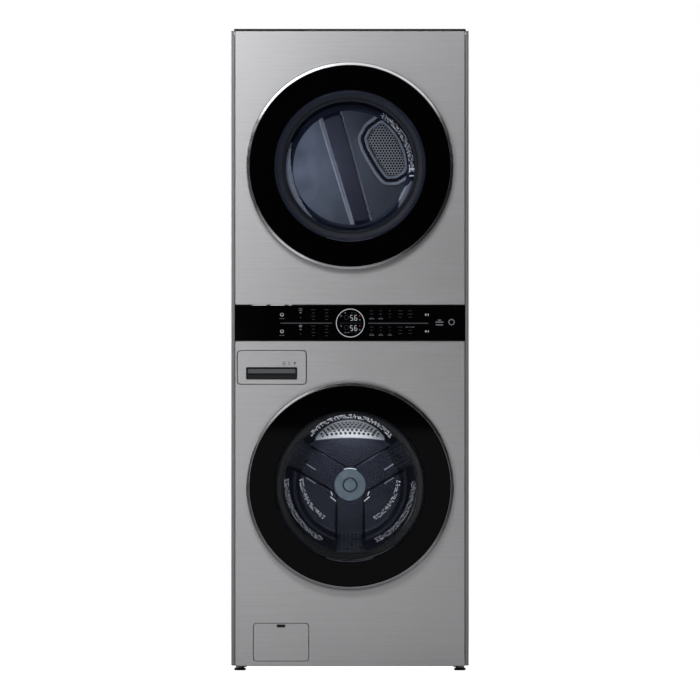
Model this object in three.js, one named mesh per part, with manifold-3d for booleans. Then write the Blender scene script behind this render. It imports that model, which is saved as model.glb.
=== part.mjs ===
// A washer with a dryer stacked on it in one cabinet, with one control panel between them.
// Millimetres, +Z up, front towards -Y, origin on the floor under the middle of the cabinet.
import * as THREE from 'three';
import { mergeVertices } from 'three/addons/utils/BufferGeometryUtils.js';
import Module from 'manifold-3d';

const wasm = await Module();
wasm.setup();

// ---- Driving dimensions ----

const WIDTH = 700;
const HEIGHT = 1890;
const DEPTH = 770;
const FRONT = -DEPTH / 2; // front of the door glass
const BACK = DEPTH / 2; // end of the exhaust collar
const FACE = -345; // front of the painted and brushed panels
const REAR = 372; // back of the side panels
const SHEET = 1; // sheet metal
const GAP = 0.4; // between pieces that touch

const CABINET_BOTTOM = 14;
const CABINET_TOP = HEIGHT - 6;
const LOWER_PANEL = [13, 970]; // bottom and top of each front piece
const CONTROLS = [971.5, 1075.5];
const UPPER_PANEL = [1077, 1883.5];
const PANEL_HALF_WIDTH = 338.5;
const DECK = [962, 990];
const FOOT_X = 324;
const FOOT_Y = [-298, 348];

const WASHER_AXIS = 543; // height of each drum's axis
const DRYER_AXIS = 1486;
const PORTHOLE_R = 222;

// Doors: both are round, with the hinge on the left
const TRIM_R = 306;
const GLASS_R = 296.4;
const DOOR_BACK = -347.4;
const HINGE_X = -284;
const HINGE_Y = -372;
const HINGE_ARM_Z = [35, 41];
const KNUCKLE_R = 4.8;
const HINGE_PIN_R = 2.5;
const LATCH_X = 255;

// Washer: tub, drum and drive, along Y
const TUB_R = 300;
const TUB_WALL = 5;
const TUB_FRONT = -275;
const TUB_SPLIT = -54;
const TUB_BACK = 232;
const DRUM_R = 268;
const DRUM_FRONT = -258;
const DRUM_CONE = [112, 184]; // where the coned back starts and ends
const DRUM_BACK_R = 168; // flat middle of the back
const SHAFT_R = 12;
const SPRING_X = 262;
const SPRING_Y = 60;
const SPRING_SEAT = 178; // above the washer's axis

// Detergent drawer and filter flap, in the lower front panel
const DRAWER = { x: [-331.6, -128.6], z: [843, 942], corner: 10 };
const DRAWER_GRIP = { x: [-305.6, -155.5], z: [860, 893], corner: 4 };
const FLAP = { x: [-284, -122], z: [28, 138.5], corner: 9 };
const FLAP_HINGE = { y: -340.4, z: 41.6 };
const PUMP = { x: -203, z: 88 };

// Dryer: drum, drive and air path
const DRYER_DRUM_R = 285;
const DRYER_DRUM = [-256, 250];
const DRYER_MOUTH_R = 215;
const BULKHEAD = { x: 334, z: [-326, 326] };
const REAR_DISC_R = 182;
const MOTOR = { x: -90, z: -396 };
const PULLEY_R = 12;
const BELT = { y: [-44, -26], thick: 2.5 };
const IDLER = { x: -165.5, z: -346.8 };
const IDLER_R = 25;
const VENT_PITCH = 26;
const ROLLER = { x: 181, z: -258.5, r: 30 };
const DUCT = { x: 60, z: -426, r: 50 };
const FILTER = { x: 80, y: [-304, -284], z: [-400, -221] };

const ROUND = 28; // sides of a large circle
const SMALL = 12; // sides of a small circle

// ---- Materials ----

const finish = (color, roughness, metalness, opacity = 1) => () => new THREE.MeshStandardMaterial({
  color, roughness, metalness, opacity, transparent: opacity < 1,
});
const brushedSteel = finish(0x9d9ea0, 0.38, 1);
const stainless = finish(0xb4b8bd, 0.25, 1);
const zincSteel = finish(0x8f9397, 0.5, 0.9);
const paintedSteel = finish(0x8b8d90, 0.45, 0.4);
const chrome = finish(0xd0d2d4, 0.08, 1);
const blackGlass = finish(0x09090b, 0.05, 0);
const clearGlass = finish(0xc8d2dc, 0.05, 0, 0.35);
const blackPlastic = finish(0x17181a, 0.5, 0);
const greyPlastic = finish(0x6c7076, 0.5, 0);
const whitePlastic = finish(0xd9dcde, 0.5, 0);
const rubber = finish(0x2a2b2d, 0.85, 0);
const greyRubber = finish(0x595c60, 0.8, 0);
const concrete = finish(0x85837e, 0.95, 0);
const castAluminium = finish(0xa3a6a9, 0.5, 1);
const copper = finish(0x9c5a34, 0.4, 0.8);

// ---- Solids ----

/** A closed body for cutting and joining, from a closed geometry. */
function solid(geometry) {
  const plain = geometry.clone();
  plain.deleteAttribute('normal');
  plain.deleteAttribute('uv');
  const merged = mergeVertices(plain);
  const corners = merged.index.array;
  const kept = [];
  for (let i = 0; i < corners.length; i += 3) {
    const [a, b, c] = corners.slice(i, i + 3);
    if (a !== b && b !== c && c !== a) kept.push(a, b, c);
  }
  return new wasm.Manifold(new wasm.Mesh({
    numProp: 3,
    vertProperties: Float32Array.from(merged.attributes.position.array),
    triVerts: Uint32Array.from(kept),
  }));
}

/** A block between two values on each axis. */
function block([x0, x1], [y0, y1], [z0, z1]) {
  const geometry = new THREE.BoxGeometry(x1 - x0, y1 - y0, z1 - z0);
  return solid(geometry.translate((x0 + x1) / 2, (y0 + y1) / 2, (z0 + z1) / 2));
}

/** The ring or disc that a closed outline of [radius, y] points sweeps about the Y axis. */
function turned(outline, sides = ROUND) {
  const area = outline.reduce((sum, [r, y], i) => {
    const [nextR, nextY] = outline[(i + 1) % outline.length];
    return sum + r * nextY - nextR * y;
  }, 0);
  const ordered = area > 0 ? outline : [...outline].reverse();
  const points = ordered.map(([r, y]) => new THREE.Vector2(r, y));
  if (points[0].x > 0) points.push(points[0].clone());
  return solid(new THREE.LatheGeometry(points, sides));
}

/** A round bar along Y at x, z. */
function barY(radius, [y0, y1], x = 0, z = 0, sides = SMALL) {
  return turned([[0, y0], [radius, y0], [radius, y1], [0, y1]], sides).translate([x, 0, z]);
}

/** A round bar along Z at x, y. */
function barZ(radius, [z0, z1], x, y, sides = SMALL) {
  return turned([[0, z0], [radius, z0], [radius, z1], [0, z1]], sides)
    .rotate([90, 0, 0]).translate([x, y, 0]);
}

/** A round bar along X at y, z. */
function barX(radius, [x0, x1], y, z, sides = SMALL) {
  return turned([[0, x0], [radius, x0], [radius, x1], [0, x1]], sides)
    .rotate([0, 0, -90]).translate([0, y, z]);
}

/** A flat outline in X and Z, made solid between two values of y. */
function plateY(shape, [y0, y1], curveSegments = 3) {
  const geometry = new THREE.ExtrudeGeometry(shape, { depth: y1 - y0, bevelEnabled: false, curveSegments });
  return solid(geometry.rotateX(Math.PI / 2).translate(0, y1, 0));
}

/** A flat outline in X and Y, made solid between two values of z. */
function plateZ(shape, [z0, z1], curveSegments = 3) {
  const geometry = new THREE.ExtrudeGeometry(shape, { depth: z1 - z0, bevelEnabled: false, curveSegments });
  return solid(geometry.translate(0, 0, z0));
}

/** A flat outline in Y and Z, made solid between two values of x. */
function plateX(shape, [x0, x1], curveSegments = 3) {
  const geometry = new THREE.ExtrudeGeometry(shape, { depth: x1 - x0, bevelEnabled: false, curveSegments });
  const [alongX, alongY, alongZ] = [[1, 0, 0], [0, 1, 0], [0, 0, 1]].map((axis) => new THREE.Vector3(...axis));
  geometry.applyMatrix4(new THREE.Matrix4().makeBasis(alongY, alongZ, alongX));
  return solid(geometry.translate(x0, 0, 0));
}

function polygon(points) {
  return new THREE.Shape(points.map(([x, y]) => new THREE.Vector2(x, y)));
}

function roundedRectangle([x0, x1], [y0, y1], r) {
  const quarter = Math.PI / 2;
  const shape = new THREE.Shape();
  shape.moveTo(x0 + r, y0);
  shape.absarc(x1 - r, y0 + r, r, -quarter, 0);
  shape.absarc(x1 - r, y1 - r, r, 0, quarter);
  shape.absarc(x0 + r, y1 - r, r, quarter, 2 * quarter);
  shape.absarc(x0 + r, y0 + r, r, 2 * quarter, 3 * quarter);
  return shape;
}

/** Part of a flat ring about the origin, between two angles in degrees. */
function ringSector(inner, outer, from, to) {
  const [a, b] = [from, to].map(THREE.MathUtils.degToRad);
  const shape = new THREE.Shape();
  shape.absarc(0, 0, outer, a, b);
  shape.absarc(0, 0, inner, b, a, true);
  shape.closePath();
  return shape;
}

const widened = ([low, high], by) => [low - by, high + by];
const mirrored = ([low, high]) => [-high, -low];

const stack = new THREE.Group();
const washer = new THREE.Group();
const dryer = new THREE.Group();
washer.position.z = WASHER_AXIS;
dryer.position.z = DRYER_AXIS;
stack.add(washer, dryer);

/** Puts one sub-part in a group, as a mesh of its own. */
function add(group, name, body, material) {
  const { vertProperties, triVerts } = body.getMesh();
  const geometry = new THREE.BufferGeometry();
  geometry.setAttribute('position', new THREE.BufferAttribute(vertProperties, 3));
  geometry.setIndex(new THREE.BufferAttribute(triVerts, 1));
  geometry.computeVertexNormals();
  const mesh = new THREE.Mesh(geometry, material());
  mesh.name = name;
  group.add(mesh);
}

// ---- Cabinet ----

function addBase() {
  const ring = (inset, heights) => block(widened([-347.5, 347.5], -inset), widened([-318, 368], -inset), heights)
    .subtract(block(widened([-304, 304], inset), widened([-272, 326], inset), [0, 60]));
  let frame = ring(0, [CABINET_BOTTOM, 44]).subtract(ring(2.5, [0, 41.5]));
  const foot = turned([
    [0, 0], [15.5, 0], [17, 1.5], [17, 7], [11, 8.5], [11, 13.6], [5, 13.6], [5, 40], [0, 40],
  ], SMALL).rotate([90, 0, 0]);
  for (const [side, x] of [['left', -FOOT_X], ['right', FOOT_X]]) {
    for (const [end, y] of [['front', FOOT_Y[0]], ['rear', FOOT_Y[1]]]) {
      frame = frame.subtract(barZ(5.6, [0, 60], x, y));
      add(stack, `foot_${end}_${side}`, foot.translate([x, y, 0]), rubber);
    }
  }
  add(stack, 'base_frame', frame, zincSteel);
}

/** A side panel folded from sheet: a rounded front edge, the side and a rear flange. */
function addSidePanel(name, side) {
  const edge = WIDTH / 2;
  const bend = 8;
  const steps = 4;
  const corner = (radius) => Array.from({ length: steps + 1 }, (_, i) => {
    const angle = (i / steps) * Math.PI / 2;
    return [side * (edge - bend + radius * Math.sin(angle)), FACE + SHEET + bend - radius * Math.cos(angle)];
  });
  const outline = [
    [side * (edge - 10), FACE + SHEET],
    ...corner(bend),
    [side * edge, REAR],
    [side * (edge - 16), REAR],
    [side * (edge - 16), REAR - SHEET],
    [side * (edge - SHEET), REAR - SHEET],
    ...corner(bend - SHEET).reverse(),
    [side * (edge - 10), FACE + 2 * SHEET],
  ];
  add(stack, name, plateZ(polygon(outline), [CABINET_BOTTOM + 1, CABINET_TOP]), paintedSteel);
}

/** A front panel: a face with folded edges and a porthole with a rolled lip. */
function frontPanel([bottom, top], axis) {
  const half = PANEL_HALF_WIDTH;
  const outer = block([-half, half], [FACE, -322], [bottom, top]);
  const inner = block(widened([-half, half], -SHEET), [FACE + SHEET, -300], widened([bottom, top], -SHEET));
  const lip = turned([
    [PORTHOLE_R, FACE + 0.5], [PORTHOLE_R + SHEET, FACE + 0.5], [PORTHOLE_R + SHEET, -330], [PORTHOLE_R, -330],
  ]).translate([0, 0, axis]);
  const porthole = barY(PORTHOLE_R, [-360, -300], 0, axis, ROUND);
  const latchSlot = block([LATCH_X - 10, LATCH_X + 14], [-360, -300], [axis - 12, axis + 12]);
  return outer.subtract(inner).add(lip).subtract(porthole).subtract(latchSlot);
}

function addFrontPanels() {
  add(stack, 'upper_front_panel', frontPanel(UPPER_PANEL, DRYER_AXIS), brushedSteel);

  const play = 1;
  const drawerHole = roundedRectangle(widened(DRAWER.x, play), widened(DRAWER.z, play), DRAWER.corner + play);
  const flapHole = roundedRectangle(widened(FLAP.x, play), widened(FLAP.z, play), FLAP.corner + play);
  let lower = frontPanel(LOWER_PANEL, WASHER_AXIS)
    .subtract(plateY(drawerHole, [-360, -330]))
    .subtract(plateY(flapHole, [-360, -330]));
  for (const x of [[FLAP.x[0] - 7, FLAP.x[0] - 2], [FLAP.x[1] + 2, FLAP.x[1] + 7]]) {
    const lug = block(x, [FACE + 1, -334], widened([FLAP_HINGE.z, FLAP_HINGE.z], 6));
    lower = lower.add(lug.subtract(barX(1.9, x, FLAP_HINGE.y, FLAP_HINGE.z, 12)));
  }
  add(stack, 'lower_front_panel', lower, brushedSteel);
}

function addRearCovers() {
  const half = 346;
  const faces = [REAR + GAP, REAR + GAP + SHEET];
  const lower = block([-half, half], faces, [20, 968]).subtract(block([-301, -199], [360, 400], [879, 921]));
  const exhaustTop = DRYER_AXIS + DUCT.z + DUCT.r + 5;
  const upper = block([-half, half], faces, [972, 1878])
    .subtract(block(widened([DUCT.x, DUCT.x], DUCT.r + 5), [360, 400], [960, exhaustTop]))
    .subtract(barY(15, [360, 400], 250, 1060));
  add(stack, 'lower_rear_cover', lower, zincSteel);
  add(stack, 'upper_rear_cover', upper, zincSteel);

  const inletBody = block([-296, -204], [330, REAR + 1], [884, 916]);
  const connectors = [-272, -228].map((x) => barY(12, [REAR, BACK - 1], x, 900)
    .subtract(barY(8, [REAR - 10, BACK], x, 900)));
  add(stack, 'inlet_valve', inletBody.add(connectors[0]).add(connectors[1]), whitePlastic);

  const gland = turned([[5, 360], [13, 360], [13, 374], [19, 374.5], [19, 378], [10, 383], [5, 383]], SMALL);
  add(stack, 'power_inlet', gland.translate([250, 0, 1060]), blackPlastic);
}

function addTop() {
  const outline = roundedRectangle([-341.5, 341.5], [FACE + 1, REAR - 1], 10);
  add(stack, 'top_cover', plateZ(outline, [CABINET_TOP + GAP, HEIGHT]), blackPlastic);
  const [bottom, top] = DECK;
  const deck = block([-346, 346], [-296, 369], DECK)
    .subtract(block([-344.8, 344.8], [-294.8, 367.8], [bottom - 5, top - 1.2]));
  add(stack, 'middle_deck', deck, zincSteel);
}

function addControls() {
  const outline = roundedRectangle([-339.3, 339.3], CONTROLS, 3);
  add(stack, 'control_glass', plateY(outline, [FACE, FACE + 3.5]), blackGlass);
  const outer = block([-336, 336], [FACE + 4, -300], widened(CONTROLS, -2));
  const inner = block([-333.5, 333.5], [FACE, -302.5], widened(CONTROLS, -4.5));
  add(stack, 'control_housing', outer.subtract(inner), blackPlastic);
}

// ---- Doors ----

/** Trim, glass and frame of a round door, and its fixed hinge, about the door's axis. */
function addDoor(group, prefix) {
  const trim = turned([
    [GLASS_R + GAP, FRONT + 2], [TRIM_R - 1.5, FRONT + 2], [TRIM_R, FRONT + 4], [TRIM_R, -364], [GLASS_R + GAP, -364],
  ]);
  add(group, `${prefix}_door_trim`, trim, chrome);

  const glass = turned([[0, FRONT], [GLASS_R - 2, FRONT], [GLASS_R, FRONT + 1.5], [GLASS_R, -381], [0, -381]]);
  add(group, `${prefix}_door_glass`, glass, blackGlass);

  const front = -381 + GAP;
  const wall = 3;
  const shell = turned([
    [197, front], [197 + wall, front], [197 + wall, DOOR_BACK - wall], [283.3, DOOR_BACK - wall],
    [GLASS_R - wall, -365.2], [GLASS_R - wall, front], [GLASS_R, front], [GLASS_R, -364.3],
    [285, DOOR_BACK], [197, DOOR_BACK],
  ]);
  const hingePocket = block([-291.5, -221], [-377.7, -340], [-45.5, 45.5]);
  const knuckleWeb = block([-295, HINGE_X], [HINGE_Y - 4, HINGE_Y + 4], [-34, 34])
    .intersect(barY(GLASS_R - 1, [FRONT, DOOR_BACK], 0, 0, ROUND));
  const hook = block([LATCH_X - 4, LATCH_X + 4], [DOOR_BACK - 1, -322], [-7, 7])
    .subtract(block([LATCH_X - 6, LATCH_X + 6], [-334, -327], [-4, 4]));
  const frame = shell.subtract(hingePocket)
    .add(knuckleWeb)
    .add(barZ(KNUCKLE_R, [-34, 34], HINGE_X, HINGE_Y))
    .subtract(barZ(HINGE_PIN_R + GAP, [-50, 50], HINGE_X, HINGE_Y))
    .add(hook);
  add(group, `${prefix}_door_frame`, frame, greyPlastic);
  addHinge(group, prefix);
}

/** The fixed hinge leaf: a plate on the front panel, two bent arms and the pin. */
function addHinge(group, prefix) {
  const legX = [-248, -238];
  let hinge = block([-262, -225], [FACE - 2.5, FACE - 0.3], [-45, 45])
    .add(barZ(HINGE_PIN_R, [-HINGE_ARM_Z[1], HINGE_ARM_Z[1]], HINGE_X, HINGE_Y));
  for (const z of [HINGE_ARM_Z, mirrored(HINGE_ARM_Z)]) {
    hinge = hinge
      .add(barZ(KNUCKLE_R, z, HINGE_X, HINGE_Y))
      .add(block([HINGE_X, legX[1]], [HINGE_Y - KNUCKLE_R, HINGE_Y + KNUCKLE_R], z))
      .add(block(legX, [HINGE_Y, FACE - 1], z));
  }
  add(group, `${prefix}_door_hinge`, hinge, castAluminium);
}

function addWasherDoor() {
  addDoor(washer, 'washer');
  const bowl = turned([
    [190, -347], [212, -347], [212, -342.5], [196, -342.5], [160, -250], [150, -240], [0, -236],
    [0, -241], [147, -245], [154.5, -251], [190, -343],
  ].reverse());
  add(washer, 'washer_door_bowl', bowl, clearGlass);

  const lock = block([LATCH_X - 17, LATCH_X + 21], [FACE + SHEET + GAP, -296], [-38, 38])
    .subtract(block([LATCH_X - 10, LATCH_X + 14], [-360, -312], [-12, 12]));
  add(washer, 'washer_door_lock', lock, blackPlastic);
}

function addDryerDoor() {
  addDoor(dryer, 'dryer');
  const dish = turned([
    [190, -347], [212, -347], [212, -342.5], [196, -342.5], [182, -320], [0, -312],
    [0, -316], [178.5, -324], [190, -343.5],
  ].reverse());
  add(dryer, 'dryer_door_window', dish, clearGlass);
}

// ---- Washer ----

function addTub() {
  const inner = TUB_R - TUB_WALL;
  const flange = TUB_R + 8;
  const front = turned([
    [208, -296], [212, -296], [212, TUB_FRONT], [TUB_R, TUB_FRONT], [TUB_R, TUB_SPLIT - 8],
    [flange, TUB_SPLIT - 8], [flange, TUB_SPLIT], [inner, TUB_SPLIT], [inner, TUB_FRONT + TUB_WALL],
    [208, TUB_FRONT + TUB_WALL],
  ]);
  add(washer, 'washer_tub_front', front, greyPlastic);

  const split = TUB_SPLIT + GAP;
  let rear = turned([
    [inner, split], [flange, split], [flange, split + 8], [TUB_R, split + 8], [TUB_R, TUB_BACK],
    [44, TUB_BACK], [44, 262], [SHAFT_R + 2, 262], [SHAFT_R + 2, 216], [40, 216],
    [40, TUB_BACK - TUB_WALL], [inner, TUB_BACK - TUB_WALL],
  ]);
  const strutLug = block([-10, 10], [SPRING_Y - 10, SPRING_Y + 10], [-312, -297]);
  for (const side of [-1, 1]) {
    const lugX = side > 0 ? [250, 274] : [-274, -250];
    rear = rear
      .add(block(lugX, [SPRING_Y - 10, SPRING_Y + 10], [158, SPRING_SEAT]))
      .add(strutLug.rotate([0, -38 * side, 0]));
  }
  add(washer, 'washer_tub_rear', rear, greyPlastic);

  const weight = plateY(ringSector(224, 288, 24, 156), [-302, TUB_FRONT - GAP], 8);
  add(washer, 'washer_counterweight', weight, concrete);

  const gasket = turned([
    [212, -341], [219.3, -341], [219.3, -316], [207, -300], [207, -262.5], [200.5, -262.5],
    [200.5, -303], [212, -318],
  ]);
  add(washer, 'washer_gasket', gasket, greyRubber);
}

function addWasherDrum() {
  const sheet = 1.2;
  const [cone, back] = DRUM_CONE;
  const drum = turned([
    [0, back], [DRUM_BACK_R, back], [DRUM_R, cone], [DRUM_R, DRUM_FRONT + 4], [DRUM_R - 4, DRUM_FRONT],
    [196, DRUM_FRONT], [196, DRUM_FRONT + sheet], [DRUM_R - 5, DRUM_FRONT + sheet],
    [DRUM_R - sheet, DRUM_FRONT + 6], [DRUM_R - sheet, cone - 2], [DRUM_BACK_R - 1, back - sheet],
    [0, back - sheet],
  ]);
  add(washer, 'washer_drum', drum, stainless);

  const room = turned([
    [0, -250], [DRUM_R - sheet - GAP, -250], [DRUM_R - sheet - GAP, cone - 3],
    [DRUM_BACK_R - 1, back - sheet - 0.5], [0, back - sheet - 0.5],
  ]);
  const taper = plateY(polygon([[-60, -280], [60, -280], [36, -130], [-36, -130]]), [-300, 300]);
  const side = plateX(polygon([
    [-240, -280], [185, -280], [185, -142], [172, -142], [120, -172], [40, -206], [-222, -222], [-240, -262],
  ]), [-60, 60]);
  const hollow = taper.scale([0.9, 1, 1]).intersect(side.scale([1, 0.97, 1]).translate([0, -2, -4]));
  const lifter = taper.intersect(side).subtract(hollow);
  for (const [index, angle] of [0, 120, 240].entries()) {
    const fitted = lifter.rotate([0, angle, 0]).intersect(room);
    add(washer, `washer_lifter_${index + 1}`, fitted, greyPlastic);
  }
}

function addWasherDrive() {
  const start = DRUM_CONE[1] + GAP;
  const arm = plateY(polygon([[-22, 0], [22, 0], [12, DRUM_BACK_R - 4], [-12, DRUM_BACK_R - 4]]), [start, start + 14]);
  let spider = turned([
    [0, start], [44, start], [44, start + 18], [20, start + 26], [SHAFT_R, start + 26], [SHAFT_R, 292], [0, 292],
  ], SMALL);
  for (const angle of [60, 180, 300]) spider = spider.add(arm.rotate([0, angle, 0]));
  add(washer, 'washer_spider_shaft', spider, castAluminium);

  const stator = turned([[46, 238], [118, 238], [118, 258], [46, 258]]);
  add(washer, 'motor_stator', stator, copper);
  const rotor = turned([
    [SHAFT_R + GAP, 270], [30, 270], [30, 264], [123, 264], [123, 236], [128, 236], [128, 269], [34, 269], [34, 276],
    [SHAFT_R + GAP, 276],
  ]);
  add(washer, 'motor_rotor', rotor, zincSteel);
}

/** A coil spring about Z: a round wire along a helix, with straight ends. */
function coilSpring(radius, wire, [bottom, top], turns) {
  class Helix extends THREE.Curve {
    getPoint(t, target = new THREE.Vector3()) {
      const angle = t * turns * 2 * Math.PI;
      return target.set(radius * Math.cos(angle), radius * Math.sin(angle), bottom + t * (top - bottom));
    }
  }
  const section = new THREE.Shape().absarc(0, 0, wire / 2, 0, 2 * Math.PI);
  return solid(new THREE.ExtrudeGeometry(section, {
    extrudePath: new Helix(), steps: turns * 6, curveSegments: 2, bevelEnabled: false,
  }));
}

function addSuspension() {
  const deckUnderside = DECK[1] - 1.2 - WASHER_AXIS;
  const spring = coilSpring(11, 4.5, [SPRING_SEAT + 3, deckUnderside - 3], 9);
  const rod = turned([
    [0, 0], [6, 0], [6, 14], [17, 20], [17, 120], [8, 124], [8, 188], [0, 188],
  ], 12).rotate([90, 0, 0]);
  for (const [name, side] of [['left', -1], ['right', 1]]) {
    add(washer, `suspension_spring_${name}`, spring.translate([SPRING_X * side, SPRING_Y, 0]), zincSteel);
    const strut = rod.rotate([0, -17 * side, 0]).translate([248 * side, SPRING_Y, 45 - WASHER_AXIS]);
    add(washer, `suspension_damper_${name}`, strut, zincSteel);
  }
}

// ---- Detergent drawer and drain pump ----

function addDispenser() {
  const { x, z, corner } = DRAWER;
  const housing = block([x[0] + 2, x[1] - 2], [-321, -60], [z[0] - 4, z[1] + 3])
    .subtract(block([x[0] + 5, x[1] - 5], [-330, -63], [z[0] - 1, z[1]]));
  add(stack, 'dispenser_housing', housing, whitePlastic);

  const grip = roundedRectangle(DRAWER_GRIP.x, DRAWER_GRIP.z, DRAWER_GRIP.corner);
  const pocket = block(widened(DRAWER_GRIP.x, 2), [FACE + 1, FACE + 18], widened(DRAWER_GRIP.z, 2));
  const front = plateY(roundedRectangle(x, z, corner), [FACE, -322])
    .subtract(block(widened(x, -2), [FACE + 1.5, -310], widened(z, -2)))
    .add(pocket)
    .subtract(plateY(grip, [FACE - 5, FACE + 16]));
  add(stack, 'drawer_front', front, brushedSteel);

  const trayX = [x[0] + 9, x[1] - 9];
  const tray = block(trayX, [-322 + GAP, -78], [z[0] + 4, z[0] + 62]);
  const middle = x[0] + 118;
  const compartments = [
    [[trayX[0] + 2.5, middle - 1], [-318, -80.5]],
    [[middle + 1, trayX[1] - 2.5], [-318, -202]],
    [[middle + 1, trayX[1] - 2.5], [-200, -80.5]],
  ];
  const hollow = compartments.reduce((body, [cx, cy]) => body.subtract(block(cx, cy, [z[0] + 6.5, z[1]])), tray);
  add(stack, 'drawer_tray', hollow, whitePlastic);
}

function addDrain() {
  const { x, z } = PUMP;
  const volute = turned([
    [27, -322], [31, -322], [31, -290], [37, -284], [37, -236], [24, -230], [24, -196], [0, -196],
    [0, -240], [27, -240],
  ].reverse(), 24).translate([x, 0, z]);
  const outlet = barX(12, [x + 30, x + 96], -256, z).subtract(barX(9, [x + 20, x + 100], -256, z));
  const inlet = barZ(16, [z + 30, z + 88], x, -262).subtract(barZ(13, [z + 26, z + 90], x, -262));
  const bores = barX(9, [x + 20, x + 100], -256, z).add(barZ(13, [z + 20, z + 90], x, -262));
  add(stack, 'drain_pump', volute.add(outlet).add(inlet).subtract(bores), blackPlastic);

  const filter = turned([
    [0, -330], [30, -330], [30, -323], [26, -323], [26, -246], [23, -246], [23, -319], [0, -319],
  ].reverse(), 24).add(block([-24, 24], [-339, -329], [-3.5, 3.5]));
  add(stack, 'pump_filter', filter.translate([x, 0, z]), greyPlastic);

  const notch = roundedRectangle([x - 12.5, x + 12.5], [FLAP.z[1] - 11.5, FLAP.z[1] - 3.5], 3);
  const flap = plateY(roundedRectangle(FLAP.x, FLAP.z, FLAP.corner), [FACE, FACE + 2])
    .subtract(plateY(notch, [FACE - 5, FACE + 5]))
    .add(barX(2.4, widened(FLAP.x, -2), FLAP_HINGE.y, FLAP_HINGE.z, 12))
    .add(block(widened(FLAP.x, -12), [FACE + 1, FLAP_HINGE.y], [FLAP_HINGE.z - 1.5, FLAP_HINGE.z + 1.5]))
    .add(barX(1.4, widened(FLAP.x, 5), FLAP_HINGE.y, FLAP_HINGE.z, 12));
  add(stack, 'filter_flap', flap, brushedSteel);
}

// ---- Dryer ----

function addDryerDrum() {
  const [front, back] = DRYER_DRUM;
  const sheet = 1;
  let drum = turned([
    [225, front], [DRYER_DRUM_R - 3, front], [DRYER_DRUM_R, front + 3], [DRYER_DRUM_R, back],
    [DRYER_DRUM_R - sheet, back], [DRYER_DRUM_R - sheet, front + sheet], [225, front + sheet],
  ]);
  const finY = [front + 30, back - 50];
  const fin = plateY(polygon([[-34, -284.5], [34, -284.5], [9, -232], [-9, -232]]), finY)
    .subtract(plateY(polygon([[-32, -286], [32, -286], [8, -233.5], [-8, -233.5]]), widened(finY, 5)));
  const room = barY(DRYER_DRUM_R - 0.5, [front, back], 0, 0, ROUND);
  for (const angle of [0, 120, 240]) drum = drum.add(fin.rotate([0, angle, 0]).intersect(room));
  add(dryer, 'dryer_drum', drum, stainless);
}

function addBulkheads() {
  const { x: half, z: heights } = BULKHEAD;
  const mouth = DRYER_MOUTH_R;
  const collar = turned([[mouth, -327], [mouth + 1.5, -327], [mouth + 1.5, -268.5], [mouth, -268.5]]);
  const filterSlot = block(widened([-FILTER.x, FILTER.x], 3), widened(FILTER.y, 2), [-260, -150]);
  let front = block([-half, half], [-269, -268], heights)
    .subtract(barY(mouth + 1, [-300, -200], 0, 0, ROUND))
    .add(collar)
    .subtract(filterSlot);
  for (const x of [-ROLLER.x, ROLLER.x]) front = front.add(barY(6, [-268.5, -214], x, ROLLER.z, 12));
  add(dryer, 'dryer_front_bulkhead', front, zincSteel);
  addRearBulkhead();
}

/** The fixed back of the drum: a raised disc with vent holes, and the heater duct behind it. */
function addRearBulkhead() {
  const { x: half, z: heights } = BULKHEAD;
  const plane = DRYER_DRUM[1] + 6;
  const rim = DRYER_DRUM_R - 8;
  const disc = 214;
  const plate = block([-half, half], [plane, plane + 1.2], heights)
    .subtract(barY(rim - 2, [200, 300], 0, 0, ROUND));
  const dome = turned([
    [0, disc], [REAR_DISC_R, disc], [REAR_DISC_R + 16, 240], [rim, 242], [rim, plane + 1],
    [rim - 1.5, plane + 1], [rim - 1.5, 243.5], [REAR_DISC_R + 15, 241.5], [REAR_DISC_R - 1, disc + 1.5],
    [0, disc + 1.5],
  ]);
  const duct = plateY(roundedRectangle([-30, 170], [-240, 150], 30), [plane + 0.5, 330])
    .subtract(plateY(roundedRectangle([-29, 169], [-239, 149], 29), [plane - 5, 329]));
  let rear = plate.add(dome).add(duct);
  for (const row of [0, 1, 2, 3]) {
    for (const column of [0, 1, 2]) {
      const x = 62 + VENT_PITCH * (column + (row % 2) / 2);
      const z = 20 + VENT_PITCH * row * Math.sin(Math.PI / 3);
      rear = rear.subtract(barY(9, [disc - 10, disc + 8], x, z, 6));
    }
  }
  add(dryer, 'dryer_rear_bulkhead', rear, paintedSteel);
}

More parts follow.
